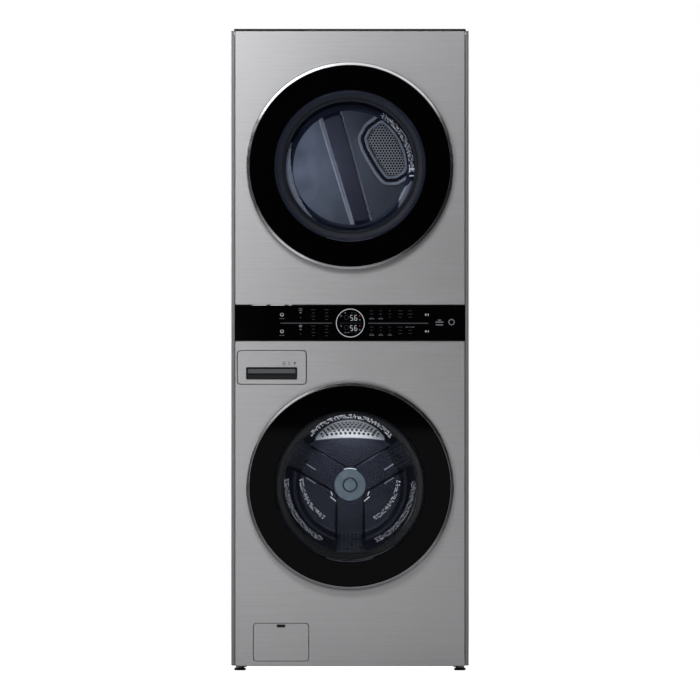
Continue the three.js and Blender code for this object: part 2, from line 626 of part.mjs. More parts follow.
function addDryerDrive() {
  const { x, z } = MOTOR;
  const toIdler = new THREE.Vector2(IDLER.x - x, IDLER.z - z);
  const armAngle = -THREE.MathUtils.radToDeg(toIdler.angle());
  const housing = turned([
    [14, -180], [34, -180], [52, -168], [52, -84], [34, -72], [14, -72],
  ], 24);
  const foot = block([-50, 50], [-150, -100], [DECK[1] + GAP - DRYER_AXIS - z, -50]);
  const arm = block([24, toIdler.length() + 9], [-84, -66], [-9, 9]).rotate([0, armAngle, 0]);
  const idlerPin = barY(4, [-70, -18], toIdler.x, toIdler.y, 12);
  const motor = housing.add(foot).subtract(barY(14, [-200, -60])).add(arm).add(idlerPin);
  add(dryer, 'dryer_motor', motor.translate([x, 0, z]), zincSteel);

  const blade = block([16, 68], [-238, -205], [-1.2, 1.2]);
  let shaft = turned([
    [0, -243], [18, -243], [18, -208], [70, -208], [70, -204], [18, -204], [6, -200], [6, -49],
    [PULLEY_R + 3, -49], [PULLEY_R + 3, -46], [PULLEY_R, -46], [PULLEY_R, -24], [PULLEY_R + 3, -24],
    [PULLEY_R + 3, -21], [0, -21],
  ], SMALL);
  for (let angle = 0; angle < 360; angle += 45) shaft = shaft.add(blade.rotate([0, angle, 0]));
  add(dryer, 'dryer_motor_shaft', shaft.translate([x, 0, z]), castAluminium);

  const wheel = (outer, bore, y) => turned([[bore, y[0]], [outer, y[0]], [outer, y[1]], [bore, y[1]]], 24);
  const idler = wheel(IDLER_R, 4.6, widened(BELT.y, 2)).translate([IDLER.x, 0, IDLER.z]);
  add(dryer, 'idler_pulley', idler, greyPlastic);
  for (const [name, side] of [['left', -1], ['right', 1]]) {
    const roller = wheel(ROLLER.r, 6.6, [-236, -216]).translate([ROLLER.x * side, 0, ROLLER.z]);
    add(dryer, `drum_roller_${name}`, roller, rubber);
  }
  addBelt();
}

/** The flat belt: around the drum and the motor pulley, straight between them. */
function addBelt() {
  const loop = (drumR, pulleyR) => {
    const between = Math.atan2(-MOTOR.z, -MOTOR.x);
    const lean = Math.acos((drumR - pulleyR) / Math.hypot(MOTOR.x, MOTOR.z));
    const shape = new THREE.Shape();
    shape.absarc(0, 0, drumR, between + Math.PI + lean, between + 3 * Math.PI - lean);
    shape.absarc(MOTOR.x, MOTOR.z, pulleyR, between + Math.PI - lean, between + Math.PI + lean);
    return shape;
  };
  const play = 1.4;
  const outer = plateY(loop(DRYER_DRUM_R + play + BELT.thick, PULLEY_R + play + BELT.thick), BELT.y, 14);
  const inner = plateY(loop(DRYER_DRUM_R + play, PULLEY_R + play), widened(BELT.y, 5), 14);
  add(dryer, 'drive_belt', outer.subtract(inner), rubber);
}

/** The lint filter's duct, the blower around the fan, and the exhaust tube, as one airway. */
function addAirway() {
  const { x, z } = MOTOR;
  const wall = 1.5;
  const ductX = FILTER.x + 4;
  const ductY = widened(FILTER.y, 3);
  const airway = (out, ends) => {
    const duct = block(widened([-ductX, ductX], out), widened(ductY, out), [-404 - out, -224 + ends]);
    const neck = block([-85 - out, 57 + out], [-282, -244], [-403 - out, -335 + out]);
    const scroll = barY(82 + out, [-247 - out, -193 + out], x, z, 32);
    const outlet = block([x, DUCT.x + DUCT.r + out - 1], [-247 - out, -193 + out], [-475 - out, -377 + out]);
    const tube = barY(DUCT.r - wall + out, [-200, BACK + ends], DUCT.x, DUCT.z, 24);
    return duct.add(neck).add(scroll).add(outlet).add(tube);
  };
  const shell = airway(wall, 0).subtract(airway(0, 5)).subtract(barY(9, [-200, -180], x, z));
  add(dryer, 'blower_housing', shell, zincSteel);

  const [left, right] = [-FILTER.x, FILTER.x];
  const frame = block([left, right], [-299, -289], FILTER.z)
    .subtract(block([left + 9, right - 9], [-310, -280], [FILTER.z[0] + 9, FILTER.z[1] - 20]));
  const screen = block([left + 5, right - 5], [-294.6, -293.4], [FILTER.z[0] + 5, FILTER.z[1] - 15]);
  const handle = block([left, right], FILTER.y, [FILTER.z[1] - 12, FILTER.z[1]])
    .subtract(block([-32, 32], [-300, -288], [FILTER.z[1] - 8, FILTER.z[1] + 5]));
  add(dryer, 'lint_filter', frame.add(screen).add(handle), greyPlastic);
}

// ---- The stack ----

addBase();
addSidePanel('left_side_panel', -1);
addSidePanel('right_side_panel', 1);
addFrontPanels();
addRearCovers();
addTop();
addControls();
addWasherDoor();
addTub();
addWasherDrum();
addWasherDrive();
addSuspension();
addDispenser();
addDrain();
addDryerDoor();
addDryerDrum();
addBulkheads();
addDryerDrive();
addAirway();

export default stack;
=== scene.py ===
"""A washer with a dryer stacked on it in one cabinet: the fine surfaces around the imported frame.

Lengths in the shape code are millimetres, and placed() turns them into metres.
"""
import math

import bmesh
import bpy
from mathutils import Matrix, Vector


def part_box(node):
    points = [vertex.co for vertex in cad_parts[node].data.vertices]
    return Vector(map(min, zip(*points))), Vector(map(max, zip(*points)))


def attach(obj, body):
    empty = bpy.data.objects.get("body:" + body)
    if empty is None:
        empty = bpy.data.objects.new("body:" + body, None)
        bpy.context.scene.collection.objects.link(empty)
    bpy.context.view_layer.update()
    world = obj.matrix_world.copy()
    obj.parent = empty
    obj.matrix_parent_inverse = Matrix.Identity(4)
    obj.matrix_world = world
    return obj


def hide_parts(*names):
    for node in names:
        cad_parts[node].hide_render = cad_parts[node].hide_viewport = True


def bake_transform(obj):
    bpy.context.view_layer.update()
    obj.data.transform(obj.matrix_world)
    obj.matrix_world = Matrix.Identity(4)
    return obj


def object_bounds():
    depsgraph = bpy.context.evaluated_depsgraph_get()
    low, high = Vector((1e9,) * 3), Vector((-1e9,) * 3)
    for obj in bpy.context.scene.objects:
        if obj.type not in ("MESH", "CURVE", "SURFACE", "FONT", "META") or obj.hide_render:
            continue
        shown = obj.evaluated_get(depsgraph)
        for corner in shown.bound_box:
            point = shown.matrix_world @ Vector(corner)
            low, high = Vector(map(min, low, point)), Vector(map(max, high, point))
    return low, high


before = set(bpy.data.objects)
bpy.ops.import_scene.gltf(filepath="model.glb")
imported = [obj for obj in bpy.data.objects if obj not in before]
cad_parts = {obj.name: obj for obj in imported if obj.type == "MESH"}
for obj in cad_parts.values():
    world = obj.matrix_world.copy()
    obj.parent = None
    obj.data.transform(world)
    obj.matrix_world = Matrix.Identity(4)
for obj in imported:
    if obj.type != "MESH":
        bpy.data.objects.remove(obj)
cad_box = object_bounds()

# ---- Sizes taken from the frame ----

MM = 0.001


def span(node):
    """The lowest and highest corners of a CAD node, in millimetres."""
    low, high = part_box(node)
    return low / MM, high / MM


def middle(node):
    low, high = span(node)
    return (low + high) / 2


BOX_HIGH = Vector(cad_box[1]) / MM
WASHER = middle("washer_drum").z  # height of each drum's axis
DRYER = middle("dryer_drum").z
FACE = span("upper_front_panel")[0].y  # front of the brushed panels
GLASS_FRONT = span("washer_door_glass")[0].y
GLASS_R = span("washer_door_glass")[1].x
TRIM_R = span("washer_door_trim")[1].x
DOOR_BACK = span("washer_door_bowl")[0].y
REAR = span("lower_rear_cover")[1].y

# ---- Outlines ----


def soft(points, radius=0.0, steps=4, closed=False):
    """A line of (u, v) points with each corner made an arc, of the point's own radius if it has one."""
    line = []
    count = len(points)
    for i, point in enumerate(points):
        wanted = point[2] if len(point) > 2 else radius
        here = Vector(point[:2])
        if wanted == 0 or (not closed and i in (0, count - 1)):
            line.append(tuple(here))
            continue
        to_last = Vector(points[i - 1][:2]) - here
        to_next = Vector(points[(i + 1) % count][:2]) - here
        shorter = min(to_last.length, to_next.length)
        last, after = to_last.normalized(), to_next.normalized()
        half = last.angle(after) / 2
        if half > math.radians(89):
            line.append(tuple(here))
            continue
        reach = min(wanted / math.tan(half), 0.45 * shorter)
        real = reach * math.tan(half)
        centre = here + (last + after).normalized() * real / math.sin(half)
        hold = min(0.3 * reach, 0.04 * shorter)
        line.append(tuple(here + last * (reach + hold)))
        start, end = here + last * reach - centre, here + after * reach - centre
        turn = math.atan2(start.x * end.y - start.y * end.x, start.dot(end))
        for step in range(steps + 1):
            angle = turn * step / steps
            spoke = Matrix.Rotation(angle, 2) @ start
            line.append(tuple(centre + spoke))
        line.append(tuple(here + after * (reach + hold)))
    return line


def rectangle(u, v, radius, steps=6):
    """A closed rectangle with round corners."""
    corners = [(u[0], v[0]), (u[1], v[0]), (u[1], v[1]), (u[0], v[1])]
    return soft(corners, radius, steps, closed=True)


def circle(radius, u=0.0, v=0.0, sides=128, turn=0.0):
    angles = (turn + 2 * math.pi * i / sides for i in range(sides))
    return [(u + radius * math.cos(a), v + radius * math.sin(a)) for a in angles]


def centred(u, v, length, width, radius, steps=6):
    """A closed rectangle with round corners, from its middle and size."""
    return rectangle((u - length / 2, u + length / 2), (v - width / 2, v + width / 2), radius, steps)


def arc(radius, start, end, steps, u=0.0, v=0.0):
    """Points along an arc between two angles in degrees."""
    angles = (math.radians(start + (end - start) * k / steps) for k in range(steps + 1))
    return [(u + radius * math.cos(a), v + radius * math.sin(a)) for a in angles]


def straight(start, end, steps, side=1):
    """Points along a straight line, mirrored in u where side is -1."""
    shares = [k / steps for k in range(steps + 1)]
    return [(side * (start[0] + (end[0] - start[0]) * t), start[1] + (end[1] - start[1]) * t) for t in shares]


def widened(limits, by):
    return limits[0] - by, limits[1] + by


def outward(loop, distance):
    """A closed anticlockwise loop with each side moved outwards."""
    if distance == 0:
        return loop
    moved = []
    for i in range(len(loop)):
        here, last, after = (Vector(loop[k % len(loop)]) for k in (i, i - 1, i + 1))
        before, ahead = (here - last).normalized(), (after - here).normalized()
        sides = [Vector((edge.y, -edge.x)) for edge in (before, ahead)]
        bisector = (sides[0] + sides[1]) / max(0.2, 1 + sides[0].dot(sides[1]))
        moved.append(tuple(here + bisector * distance))
    return moved


# ---- Solids ----


def placed(u, v, depth, axis="Y"):
    """The point in metres at u, v across an axis, and at a depth along it."""
    across = {"X": (depth, u, v), "Y": (u, depth, v), "Z": (u, v, depth)}
    return Vector(across[axis]) * MM


def skin(bm, rings, closed=False):
    """Smooth faces from each ring of vertices to the next; a ring may be one vertex many times over."""
    faces = []
    pairs = list(zip(rings, rings[1:])) + ([(rings[-1], rings[0])] if closed else [])
    for ring, other in pairs:
        for i in range(len(ring)):
            j = (i + 1) % len(ring)
            corners = list(dict.fromkeys((ring[i], ring[j], other[j], other[i])))
            if len(corners) > 2:
                faces.append(bm.faces.new(corners))
    for face in faces:
        face.smooth = True
    return faces


def ring_of(bm, centre, across, over, radius, sides):
    """A ring of vertices about a centre, in the plane of two directions."""
    angles = [2 * math.pi * k / sides for k in range(sides)]
    spokes = [(across * math.cos(a) + over * math.sin(a)) * radius for a in angles]
    return [bm.verts.new((centre + spoke) * MM) for spoke in spokes]


def sweep(bm, loop, sections, axis="Y"):
    """A skin through a copy of a loop for each (outward, depth) section; returns its end rings."""
    rings = []
    for out, depth in sections:
        rings.append([bm.verts.new(placed(u, v, depth, axis)) for u, v in outward(loop, out)])
    skin(bm, rings)
    return rings[0], rings[-1]


def cap(bm, *rings):
    """Flat faces inside the first ring and outside the others."""
    if len(rings) == 1:
        faces = [bm.faces.new(rings[0])]
    else:
        edges = []
        for ring in rings:
            edges += [bm.edges.get((ring[i - 1], ring[i])) for i in range(len(ring))]
        filled = bmesh.ops.triangle_fill(bm, edges=edges, use_beauty=True)
        faces = [g for g in filled["geom"] if isinstance(g, bmesh.types.BMFace)]
    for face in faces:
        face.smooth = False
    return faces


def cap_ends(bm, ends):
    """Closes the fronts, then the backs, of an outer skin and the skins of its holes."""
    cap(bm, *(first for first, _ in ends))
    cap(bm, *(last for _, last in ends))


def open_box(bm, loop, sections, inner_loop, inner_sections):
    """A box with an open mouth: an outer and an inner skin, joined around the mouth."""
    mouth, back = sweep(bm, loop, sections)
    inner_mouth, floor = sweep(bm, inner_loop, inner_sections)
    cap(bm, mouth, inner_mouth)
    cap(bm, back)
    cap(bm, floor)


def plate(bm, loop, depths, edge=1.0, holes=(), axis="Y"):
    """A plate between two depths, with round edges and any holes."""
    front, back = depths
    edge = min(edge, 0.45 * abs(back - front))

    def rounded(sign):
        grip = -sign * 2 * edge
        return soft([(grip, front), (0, front, edge), (0, back, edge), (grip, back)])

    ends = [sweep(bm, loop, rounded(1), axis)]
    ends += [sweep(bm, hole, rounded(-1), axis) for hole in holes]
    cap_ends(bm, ends)


def slab(bm, x, y, z, edge=1.0, corner=None):
    """A block with round edges."""
    corner = edge if corner is None else corner
    plate(bm, rectangle(x, z, corner, 4), y, edge)


def lathe(bm, outline, x=0.0, z=0.0, sides=96, axis="Y", y=0.0, radius=0.6, steps=3):
    """The ring or disc that a closed outline of (distance, depth) points sweeps about an axis."""
    line = soft([p if p[0] > 0 else (p[0], p[1], 0) for p in outline], radius, steps, closed=True)
    base = {"X": (y, z), "Y": (x, z), "Z": (x, y)}[axis]
    rings = []
    for distance, depth in line:
        if distance < 1e-6:
            rings.append([bm.verts.new(placed(*base, depth, axis))] * sides)
            continue
        points = circle(distance, *base, sides=sides)
        rings.append([bm.verts.new(placed(u, v, depth, axis)) for u, v in points])
    skin(bm, rings, closed=True)


def tube(bm, radii, depths, x=0.0, z=0.0, sides=96, **settings):
    """A lathed ring, or a disc where the inner radius is 0."""
    (inner, outer), (start, end) = radii, depths
    lathe(bm, [(inner, start), (outer, start), (outer, end), (inner, end)], x, z, sides, **settings)


def rod(bm, points, radius, sides=12, closed=False):
    """A round rod along points in millimetres, with flat ends."""
    path = [Vector(p) for p in points]
    count = len(path)
    rings = []
    normal = None
    for i, here in enumerate(path):
        ahead = path[(i + 1) % count] if closed or i < count - 1 else here
        last = path[i - 1] if closed or i > 0 else here
        tangent = (ahead - last).normalized()
        if normal is None:
            normal = tangent.orthogonal().normalized()
        normal = (normal - tangent * normal.dot(tangent)).normalized()
        rings.append(ring_of(bm, here, normal, tangent.cross(normal), radius, sides))
    skin(bm, rings, closed)
    if not closed:
        cap(bm, rings[0])
        cap(bm, rings[-1])


def turned_copy(bm, start, angle, x=0.0, z=0.0):
    """Turns the vertices made since start about an axis along Y through x, z."""
    bm.verts.ensure_lookup_table()
    centre = Vector((x, 0, z)) * MM
    spin = Matrix.Rotation(math.radians(angle), 3, "Y")
    bmesh.ops.rotate(bm, cent=centre, matrix=spin, verts=bm.verts[start:])


def repeated(bm, shape, angles, x, z):
    """A copy of a shape at each angle, turned about an axis along Y."""
    for angle in angles:
        first = len(bm.verts)
        shape()
        turned_copy(bm, first, angle, x, z)


# ---- Pieces ----


def filled_mesh(name, shape):
    """The mesh of a function that fills a bmesh."""
    bm = bmesh.new()
    shape(bm)
    bmesh.ops.recalc_face_normals(bm, faces=bm.faces)
    mesh = bpy.data.meshes.new(name)
    bm.to_mesh(mesh)
    bm.free()
    return mesh


def linked(name, data):
    """A new object in the scene."""
    obj = bpy.data.objects.new(name, data)
    bpy.context.scene.collection.objects.link(obj)
    return obj


def piece(name, shape, material, body="cabinet", replaces=(), sharp=38, ride=True):
    """A visible piece from a function that fills a bmesh."""
    mesh = filled_mesh(name, shape)
    mesh.set_sharp_from_angle(angle=math.radians(sharp))
    obj = linked(name, mesh)
    for each in material if isinstance(material, (list, tuple)) else [material]:
        mesh.materials.append(each)
    if replaces:
        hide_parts(*([replaces] if isinstance(replaces, str) else replaces))
    if ride:
        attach(obj, body)
    return obj


def turned_piece(name, outline, z, material, body, slot, replaces=(), sides=128, **settings):
    """A piece lathed about an axis along Y, at a height."""
    return piece(name, lambda bm: lathe(bm, outline, 0, z, sides, **settings), material, body, replaces)


def thicken(obj, thickness, offset=0.0):
    """Gives a sheet its thickness, and applies it."""
    solid = obj.modifiers.new("thickness", "SOLIDIFY")
    solid.thickness = thickness * MM
    solid.offset = offset
    apply_modifiers(obj)


def apply_modifiers(obj):
    graph = bpy.context.evaluated_depsgraph_get()
    mesh = bpy.data.meshes.new_from_object(obj.evaluated_get(graph), depsgraph=graph)
    obj.modifiers.clear()
    obj.data = mesh


def cut(obj, shape):
    """Removes what a function fills a bmesh with."""
    cutter = linked("cutter", filled_mesh("cutter", shape))
    boolean = obj.modifiers.new("cut", "BOOLEAN")
    boolean.object = cutter
    boolean.operation = "DIFFERENCE"
    boolean.solver = "EXACT"
    apply_modifiers(obj)
    bpy.data.objects.remove(cutter)


# ---- Materials ----


def srgb(*levels):
    """A linear colour from 0-255 display levels."""
    values = levels * 3 if len(levels) == 1 else levels
    linear = [((v / 255 + 0.055) / 1.055) ** 2.4 if v > 10 else v / 255 / 12.92 for v in values]
    return (*linear, 1.0)


class Shader:
    """A Principled material whose details come from textures in the object's own space."""

    def __init__(self, name, color, roughness, **inputs):
        self.material = bpy.data.materials.new(name)
        self.material.use_nodes = True
        self.tree = self.material.node_tree
        self.bsdf = self.tree.nodes["Principled BSDF"]
        self.bsdf.inputs["Base Color"].default_value = color
        self.bsdf.inputs["Roughness"].default_value = roughness
        self.color = color
        self.roughness = roughness
        for socket, value in inputs.items():
            self.bsdf.inputs[socket.replace("_", " ")].default_value = value
        self.place = self.node("ShaderNodeTexCoord").outputs["Object"]
        self.height = None

    def node(self, kind, **settings):
        node = self.tree.nodes.new(kind)
        for name, value in settings.items():
            setattr(node, name, value)
        return node

    def link(self, source, node, socket):
        self.tree.links.new(source, node.inputs[socket])

    def stretched(self, scale):
        mapping = self.node("ShaderNodeMapping")
        mapping.inputs["Scale"].default_value = scale
        self.link(self.place, mapping, "Vector")
        return mapping.outputs["Vector"]

    def noise(self, scale, detail=2.0, rough=0.5):
        """A noise value; scale is features per metre along each axis, or one number."""
        scale = scale if isinstance(scale, tuple) else (scale,) * 3
        noise = self.node("ShaderNodeTexNoise")
        self.link(self.stretched(scale), noise, "Vector")
        noise.inputs["Scale"].default_value = 1.0
        noise.inputs["Detail"].default_value = detail
        noise.inputs["Roughness"].default_value = rough
        return noise.outputs["Fac"]

    def cells(self, scale, feature="F1", output="Distance"):
        scale = scale if isinstance(scale, tuple) else (scale,) * 3
        cells = self.node("ShaderNodeTexVoronoi", feature=feature)
        self.link(self.stretched(scale), cells, "Vector")
        cells.inputs["Scale"].default_value = 1.0
        return cells.outputs[output]

    def math(self, operation, a, b=None):
        node = self.node("ShaderNodeMath", operation=operation)
        for i, value in enumerate((a, b)):
            if value is None:
                continue
            if isinstance(value, (int, float)):
                node.inputs[i].default_value = value
            else:
                self.tree.links.new(value, node.inputs[i])
        return node.outputs[0]

    def ranged(self, value, low, high, start=0.0, end=1.0, smooth=False):
        node = self.node("ShaderNodeMapRange")
        if smooth:
            node.interpolation_type = "SMOOTHSTEP"
        self.link(value, node, "Value")
        for socket, number in (("From Min", low), ("From Max", high), ("To Min", start), ("To Max", end)):
            node.inputs[socket].default_value = number
        return node.outputs["Result"]

    def mixed(self, factor, a, b):
        node = self.node("ShaderNodeMix", data_type="RGBA")
        self.link(factor, node, "Factor")
        for socket, value in ((6, a), (7, b)):
            if isinstance(value, tuple):
                node.inputs[socket].default_value = value
            else:
                self.tree.links.new(value, node.inputs[socket])
        return node.outputs[2]

    def tint(self, value, amount, color=None):
        """Varies the base colour by this share of itself."""
        base = color or self.color
        dark = tuple(c * (1 - amount) for c in base[:3]) + (1.0,)
        light = tuple(min(1.0, c * (1 + amount)) for c in base[:3]) + (1.0,)
        result = self.mixed(self.ranged(value, 0.25, 0.75), dark, light)
        self.link(result, self.bsdf, "Base Color")
        return result

    def rough(self, value, amount):
        span_low, span_high = self.roughness - amount, self.roughness + amount
        self.link(self.ranged(value, 0.25, 0.75, max(0.02, span_low), span_high), self.bsdf, "Roughness")

    def bump(self, value, distance, strength=1.0):
        """Adds relief, with its depth in millimetres."""
        node = self.node("ShaderNodeBump")
        node.inputs["Distance"].default_value = distance * MM
        node.inputs["Strength"].default_value = strength
        self.link(value, node, "Height")
        if self.height is not None:
            self.link(self.height, node, "Normal")
        self.height = node.outputs["Normal"]
        self.link(self.height, self.bsdf, "Normal")


def brushed_steel(name, color, roughness=0.34):
    """Stainless sheet brushed sideways: fine long streaks that vary in shade, gloss and height."""
    s = Shader(name, color, roughness, Metallic=1.0, Anisotropic=0.7, Anisotropic_Rotation=0.25)
    tangent = s.node("ShaderNodeTangent", direction_type="RADIAL", axis="Z")
    s.link(tangent.outputs["Tangent"], s.bsdf, "Tangent")
    long_streaks = s.noise((7, 7, 330), 3.0, 0.65)
    hair = s.noise((38, 38, 1500), 2.0, 0.6)
    both = s.math("ADD", s.math("MULTIPLY", long_streaks, 0.6), s.math("MULTIPLY", hair, 0.4))
    cloud = s.noise(3.0, 1.0)
    shade = s.math("ADD", s.math("MULTIPLY", both, 0.85), s.math("MULTIPLY", cloud, 0.15))
    s.tint(shade, 0.13)
    s.rough(both, 0.07)
    s.bump(hair, 0.02, 0.35)
    return s.material


def painted_steel(name, color, roughness=0.42):
    """Satin paint with a fine orange peel."""
    s = Shader(name, color, roughness, Metallic=0.55, Coat_Weight=0.15, Coat_Roughness=0.25)
    s.tint(s.noise(5.0, 4.0), 0.035)
    s.rough(s.noise(60.0, 2.0), 0.04)
    s.bump(s.noise(900.0, 2.0), 0.03, 0.25)
    return s.material


def galvanised(name, color, roughness=0.42):
    """Zinc-coated sheet with its spangle."""
    s = Shader(name, color, roughness, Metallic=0.9)
    flakes = s.cells(105.0, output="Color")
    spangle = s.node("ShaderNodeSeparateColor")
    s.link(flakes, spangle, "Color")
    s.tint(spangle.outputs[0], 0.055)
    s.rough(spangle.outputs[1], 0.06)
    s.bump(s.noise(350.0, 3.0), 0.05, 0.2)
    return s.material


def stainless(name, color, roughness=0.2):
    """Polished drum steel with faint rolling marks and soft waves."""
    s = Shader(name, color, roughness, Metallic=1.0)
    s.tint(s.noise((14, 140, 14), 3.0), 0.08)
    s.rough(s.noise((20, 220, 20), 3.0), 0.07)
    s.bump(s.noise(26.0, 2.0), 0.5, 0.25)
    return s.material


def plastic(name, color, roughness=0.45, grain=1100.0):
    """Moulded plastic with a fine texture."""
    s = Shader(name, color, roughness)
    s.tint(s.noise(9.0, 3.0), 0.05)
    s.rough(s.noise(45.0, 3.0), 0.06)
    s.bump(s.noise(grain, 2.0), 0.04, 0.3)
    return s.material


def rubber(name, color, roughness=0.7):
    """Matt rubber with dust in its grain."""
    s = Shader(name, color, roughness, Sheen_Weight=0.15, Sheen_Roughness=0.5)
    s.tint(s.noise(14.0, 5.0), 0.12)
    s.rough(s.noise(80.0, 3.0), 0.08)
    s.bump(s.noise(700.0, 3.0), 0.08, 0.4)
    return s.material


def chrome(name, color, roughness=0.14):
    s = Shader(name, color, roughness, Metallic=1.0)
    s.tint(s.noise(6.0, 2.0), 0.05)
    s.rough(s.noise(40.0, 3.0), 0.04)
    return s.material


def cast_metal(name, color, roughness=0.5):
    s = Shader(name, color, roughness, Metallic=0.95)
    s.tint(s.noise(30.0, 4.0), 0.08)
    s.rough(s.noise(70.0, 3.0), 0.08)
    s.bump(s.noise(450.0, 4.0), 0.15, 0.4)
    return s.material


def concrete(name, color):
    """Cast concrete with pores and grey patches."""
    s = Shader(name, color, 0.92)
    s.tint(s.noise(35.0, 6.0, 0.65), 0.22)
    s.bump(s.cells(160.0), 0.8, 0.4)
    s.bump(s.noise(300.0, 5.0), 0.5, 0.5)
    return s.material


def copper_wire(name, color):
    """Enamelled winding wire, laid side by side."""
    s = Shader(name, color, 0.3, Metallic=0.9, Coat_Weight=0.6, Coat_Roughness=0.12)
    s.tint(s.noise((700, 60, 700), 2.0), 0.2)
    s.bump(s.noise((900, 80, 900), 1.0), 0.3, 0.6)
    return s.material


def distance_from_axis(s, height):
    """How far a point is from a door's axis, in metres, from its own place in the object's space."""
    split = s.node("ShaderNodeSeparateXYZ")
    s.link(s.place, split, "Vector")
    up = s.math("SUBTRACT", split.outputs["Z"], height * MM)
    squares = s.math("ADD", s.math("POWER", split.outputs["X"], 2.0), s.math("POWER", up, 2.0))
    return s.math("SQRT", squares)


def door_glass(name, height):
    """Smoked glass: black print around the rim, clear in the middle with a soft edge."""
    s = Shader(name, srgb(6, 6, 8), 0.05, Specular_IOR_Level=0.06)
    away = distance_from_axis(s, height)
    s.link(s.ranged(away, 0.2225, 0.2245, 0.14, 1.0, smooth=True), s.bsdf, "Alpha")
    s.rough(s.noise(8.0, 2.0), 0.012)
    return s.material


def clear_glass(name, color, face_alpha, edge_alpha, roughness=0.04):
    """Thick clear glass: hardly there face on, and solid at its edges."""
    s = Shader(name, color, roughness, Specular_IOR_Level=0.8, Coat_Weight=0.5, Coat_Roughness=0.02)
    facing = s.node("ShaderNodeLayerWeight")
    facing.inputs["Blend"].default_value = 0.35
    s.link(s.ranged(facing.outputs["Facing"], 0.1, 0.9, face_alpha, edge_alpha), s.bsdf, "Alpha")
    s.rough(s.noise(20.0, 2.0), 0.015)
    return s.material


def glowing(name, color, strength, roughness=0.4):
    """A printed symbol lit from behind."""
    s = Shader(name, color, roughness, Emission_Color=color, Emission_Strength=strength)
    s.tint(s.noise(400.0, 2.0), 0.08)
    return s.material


PANEL_STEEL = brushed_steel("brushed panel steel", srgb(196, 196, 198))
SIDE_PAINT = painted_steel("side paint", srgb(168, 169, 172))
ZINC = galvanised("galvanised sheet", srgb(176, 179, 183))
DRUM_STEEL = stainless("drum steel", srgb(196, 201, 210))
DARK_STEEL = stainless("shaded drum steel", srgb(92, 97, 112), 0.3)
# Painted shade: drum steel darkened where it lies deep inside, on the washer drum's back and in the dryer
# vent's groove.
DEEP_SHADE_STEEL = stainless("drum steel in painted shade", srgb(48, 51, 62), 0.36)
# Painted shade: the dryer's rear wall beyond its rim, darkened to navy.
SHADE_NAVY_STEEL = stainless("navy dryer wall in painted shade", srgb(60, 67, 86), 0.36)
SLATE = stainless("slate dryer wall", srgb(102, 109, 124), 0.36)
PURPLE_STEEL = stainless("slanted rib steel", srgb(74, 76, 92), 0.36)
HUB_METAL = cast_metal("drum hub", srgb(126, 140, 149), 0.42)
LIFTER_DARK = plastic("lifter plastic", srgb(74, 78, 92), 0.3)
TRIM = chrome("door trim", srgb(176, 177, 180))
BRIGHT = chrome("bright steel", srgb(205, 206, 208), 0.22)
BLACK = plastic("black plastic", srgb(26, 27, 30), 0.42)
GREY = plastic("grey plastic", srgb(118, 121, 126))
SHELL_GREY = plastic("door shell plastic", srgb(30, 31, 35), 0.4)
DARK_GREY = plastic("dark grey plastic", srgb(58, 60, 66), 0.38)
NAVY = plastic("navy bezel plastic", srgb(20, 25, 36), 0.2, 500.0)
LIP_BLUE = plastic("blue grey bezel edge", srgb(36, 41, 54), 0.16, 500.0)
# Painted light: paler copies of the washer's bezel plastics, for the dryer's lit window.
PAINTED_LIGHT_BEZEL = plastic("lit bezel plastic", srgb(74, 80, 100), 0.2, 500.0)
PAINTED_LIGHT_RIM = plastic("lit bezel edge", srgb(78, 86, 110), 0.16, 500.0)
WHITE = plastic("white plastic", srgb(222, 224, 226), 0.4)
TUB = plastic("tub plastic", srgb(96, 99, 106), 0.5)
RUBBER = rubber("black rubber", srgb(30, 30, 32))
GREY_RUBBER = rubber("gasket rubber", srgb(92, 95, 101), 0.55)
# Painted light: a lit copy of the drum steel, pale and faintly glowing, for the top of the washer drum's
# back.
LIT_CRESCENT_STEEL = stainless("perforated plate steel in painted light", srgb(206, 210, 218), 0.42)
# Painted highlight: pale, faintly glowing steel on the dryer wall's lit edges and the washer drum's rib
# dashes.
HIGHLIGHT_STEEL = stainless("painted highlight steel", srgb(200, 208, 226), 0.3)
GLINT = plastic("bezel edge highlight", srgb(150, 160, 180), 0.2, 500.0)
GRILLE = cast_metal("vent grille", srgb(190, 196, 208), 0.45)
# Painted glints: pale steel that glows strongly, standing for light caught by perforated drum steel.
PAINTED_GLINT_STEEL = stainless("painted glint steel", srgb(222, 228, 240), 0.3)
# Painted light: the glint, crescent, highlight and grille steels glow, though they are no lamps.
PAINTED_GLOWS = (
    (PAINTED_GLINT_STEEL, 0.35, 0.8), (LIT_CRESCENT_STEEL, 0.35, 0.06), (HIGHLIGHT_STEEL, 0.4, 0.05), (GRILLE, 0.5, 0.08),
)
for each, metal, glow in PAINTED_GLOWS:
    surface = each.node_tree.nodes["Principled BSDF"].inputs
    surface["Metallic"].default_value = metal
    surface["Emission Color"].default_value = srgb(222, 228, 240)
    surface["Emission Strength"].default_value = glow
CAST = cast_metal("cast aluminium", srgb(168, 170, 173))
CONCRETE = concrete("concrete", srgb(136, 133, 127))
COPPER = copper_wire("winding wire", srgb(182, 98, 52))
# Painted shade for hollows: the insides of drain holes and the plate behind the vent grille.
SHADOW = plastic("painted shade hollow", srgb(9, 10, 13), 0.7)
TOP_BLACK = plastic("top cover black", srgb(30, 31, 33), 0.36, 700.0)
LIT_WHITE = glowing("lit white print", srgb(200, 202, 206), 0.42)
LIT_SOFT = glowing("soft white print", srgb(140, 142, 150), 0.13)
LIT_FAINT = glowing("faint print", srgb(52, 53, 60), 0.02)
LIT_RED = glowing("red light", srgb(120, 24, 52), 0.16)
LINE_GREY = glowing("grey print line", srgb(84, 84, 90), 0.03)
PANEL_PRINT = plastic("dark print", srgb(70, 72, 76), 0.4)

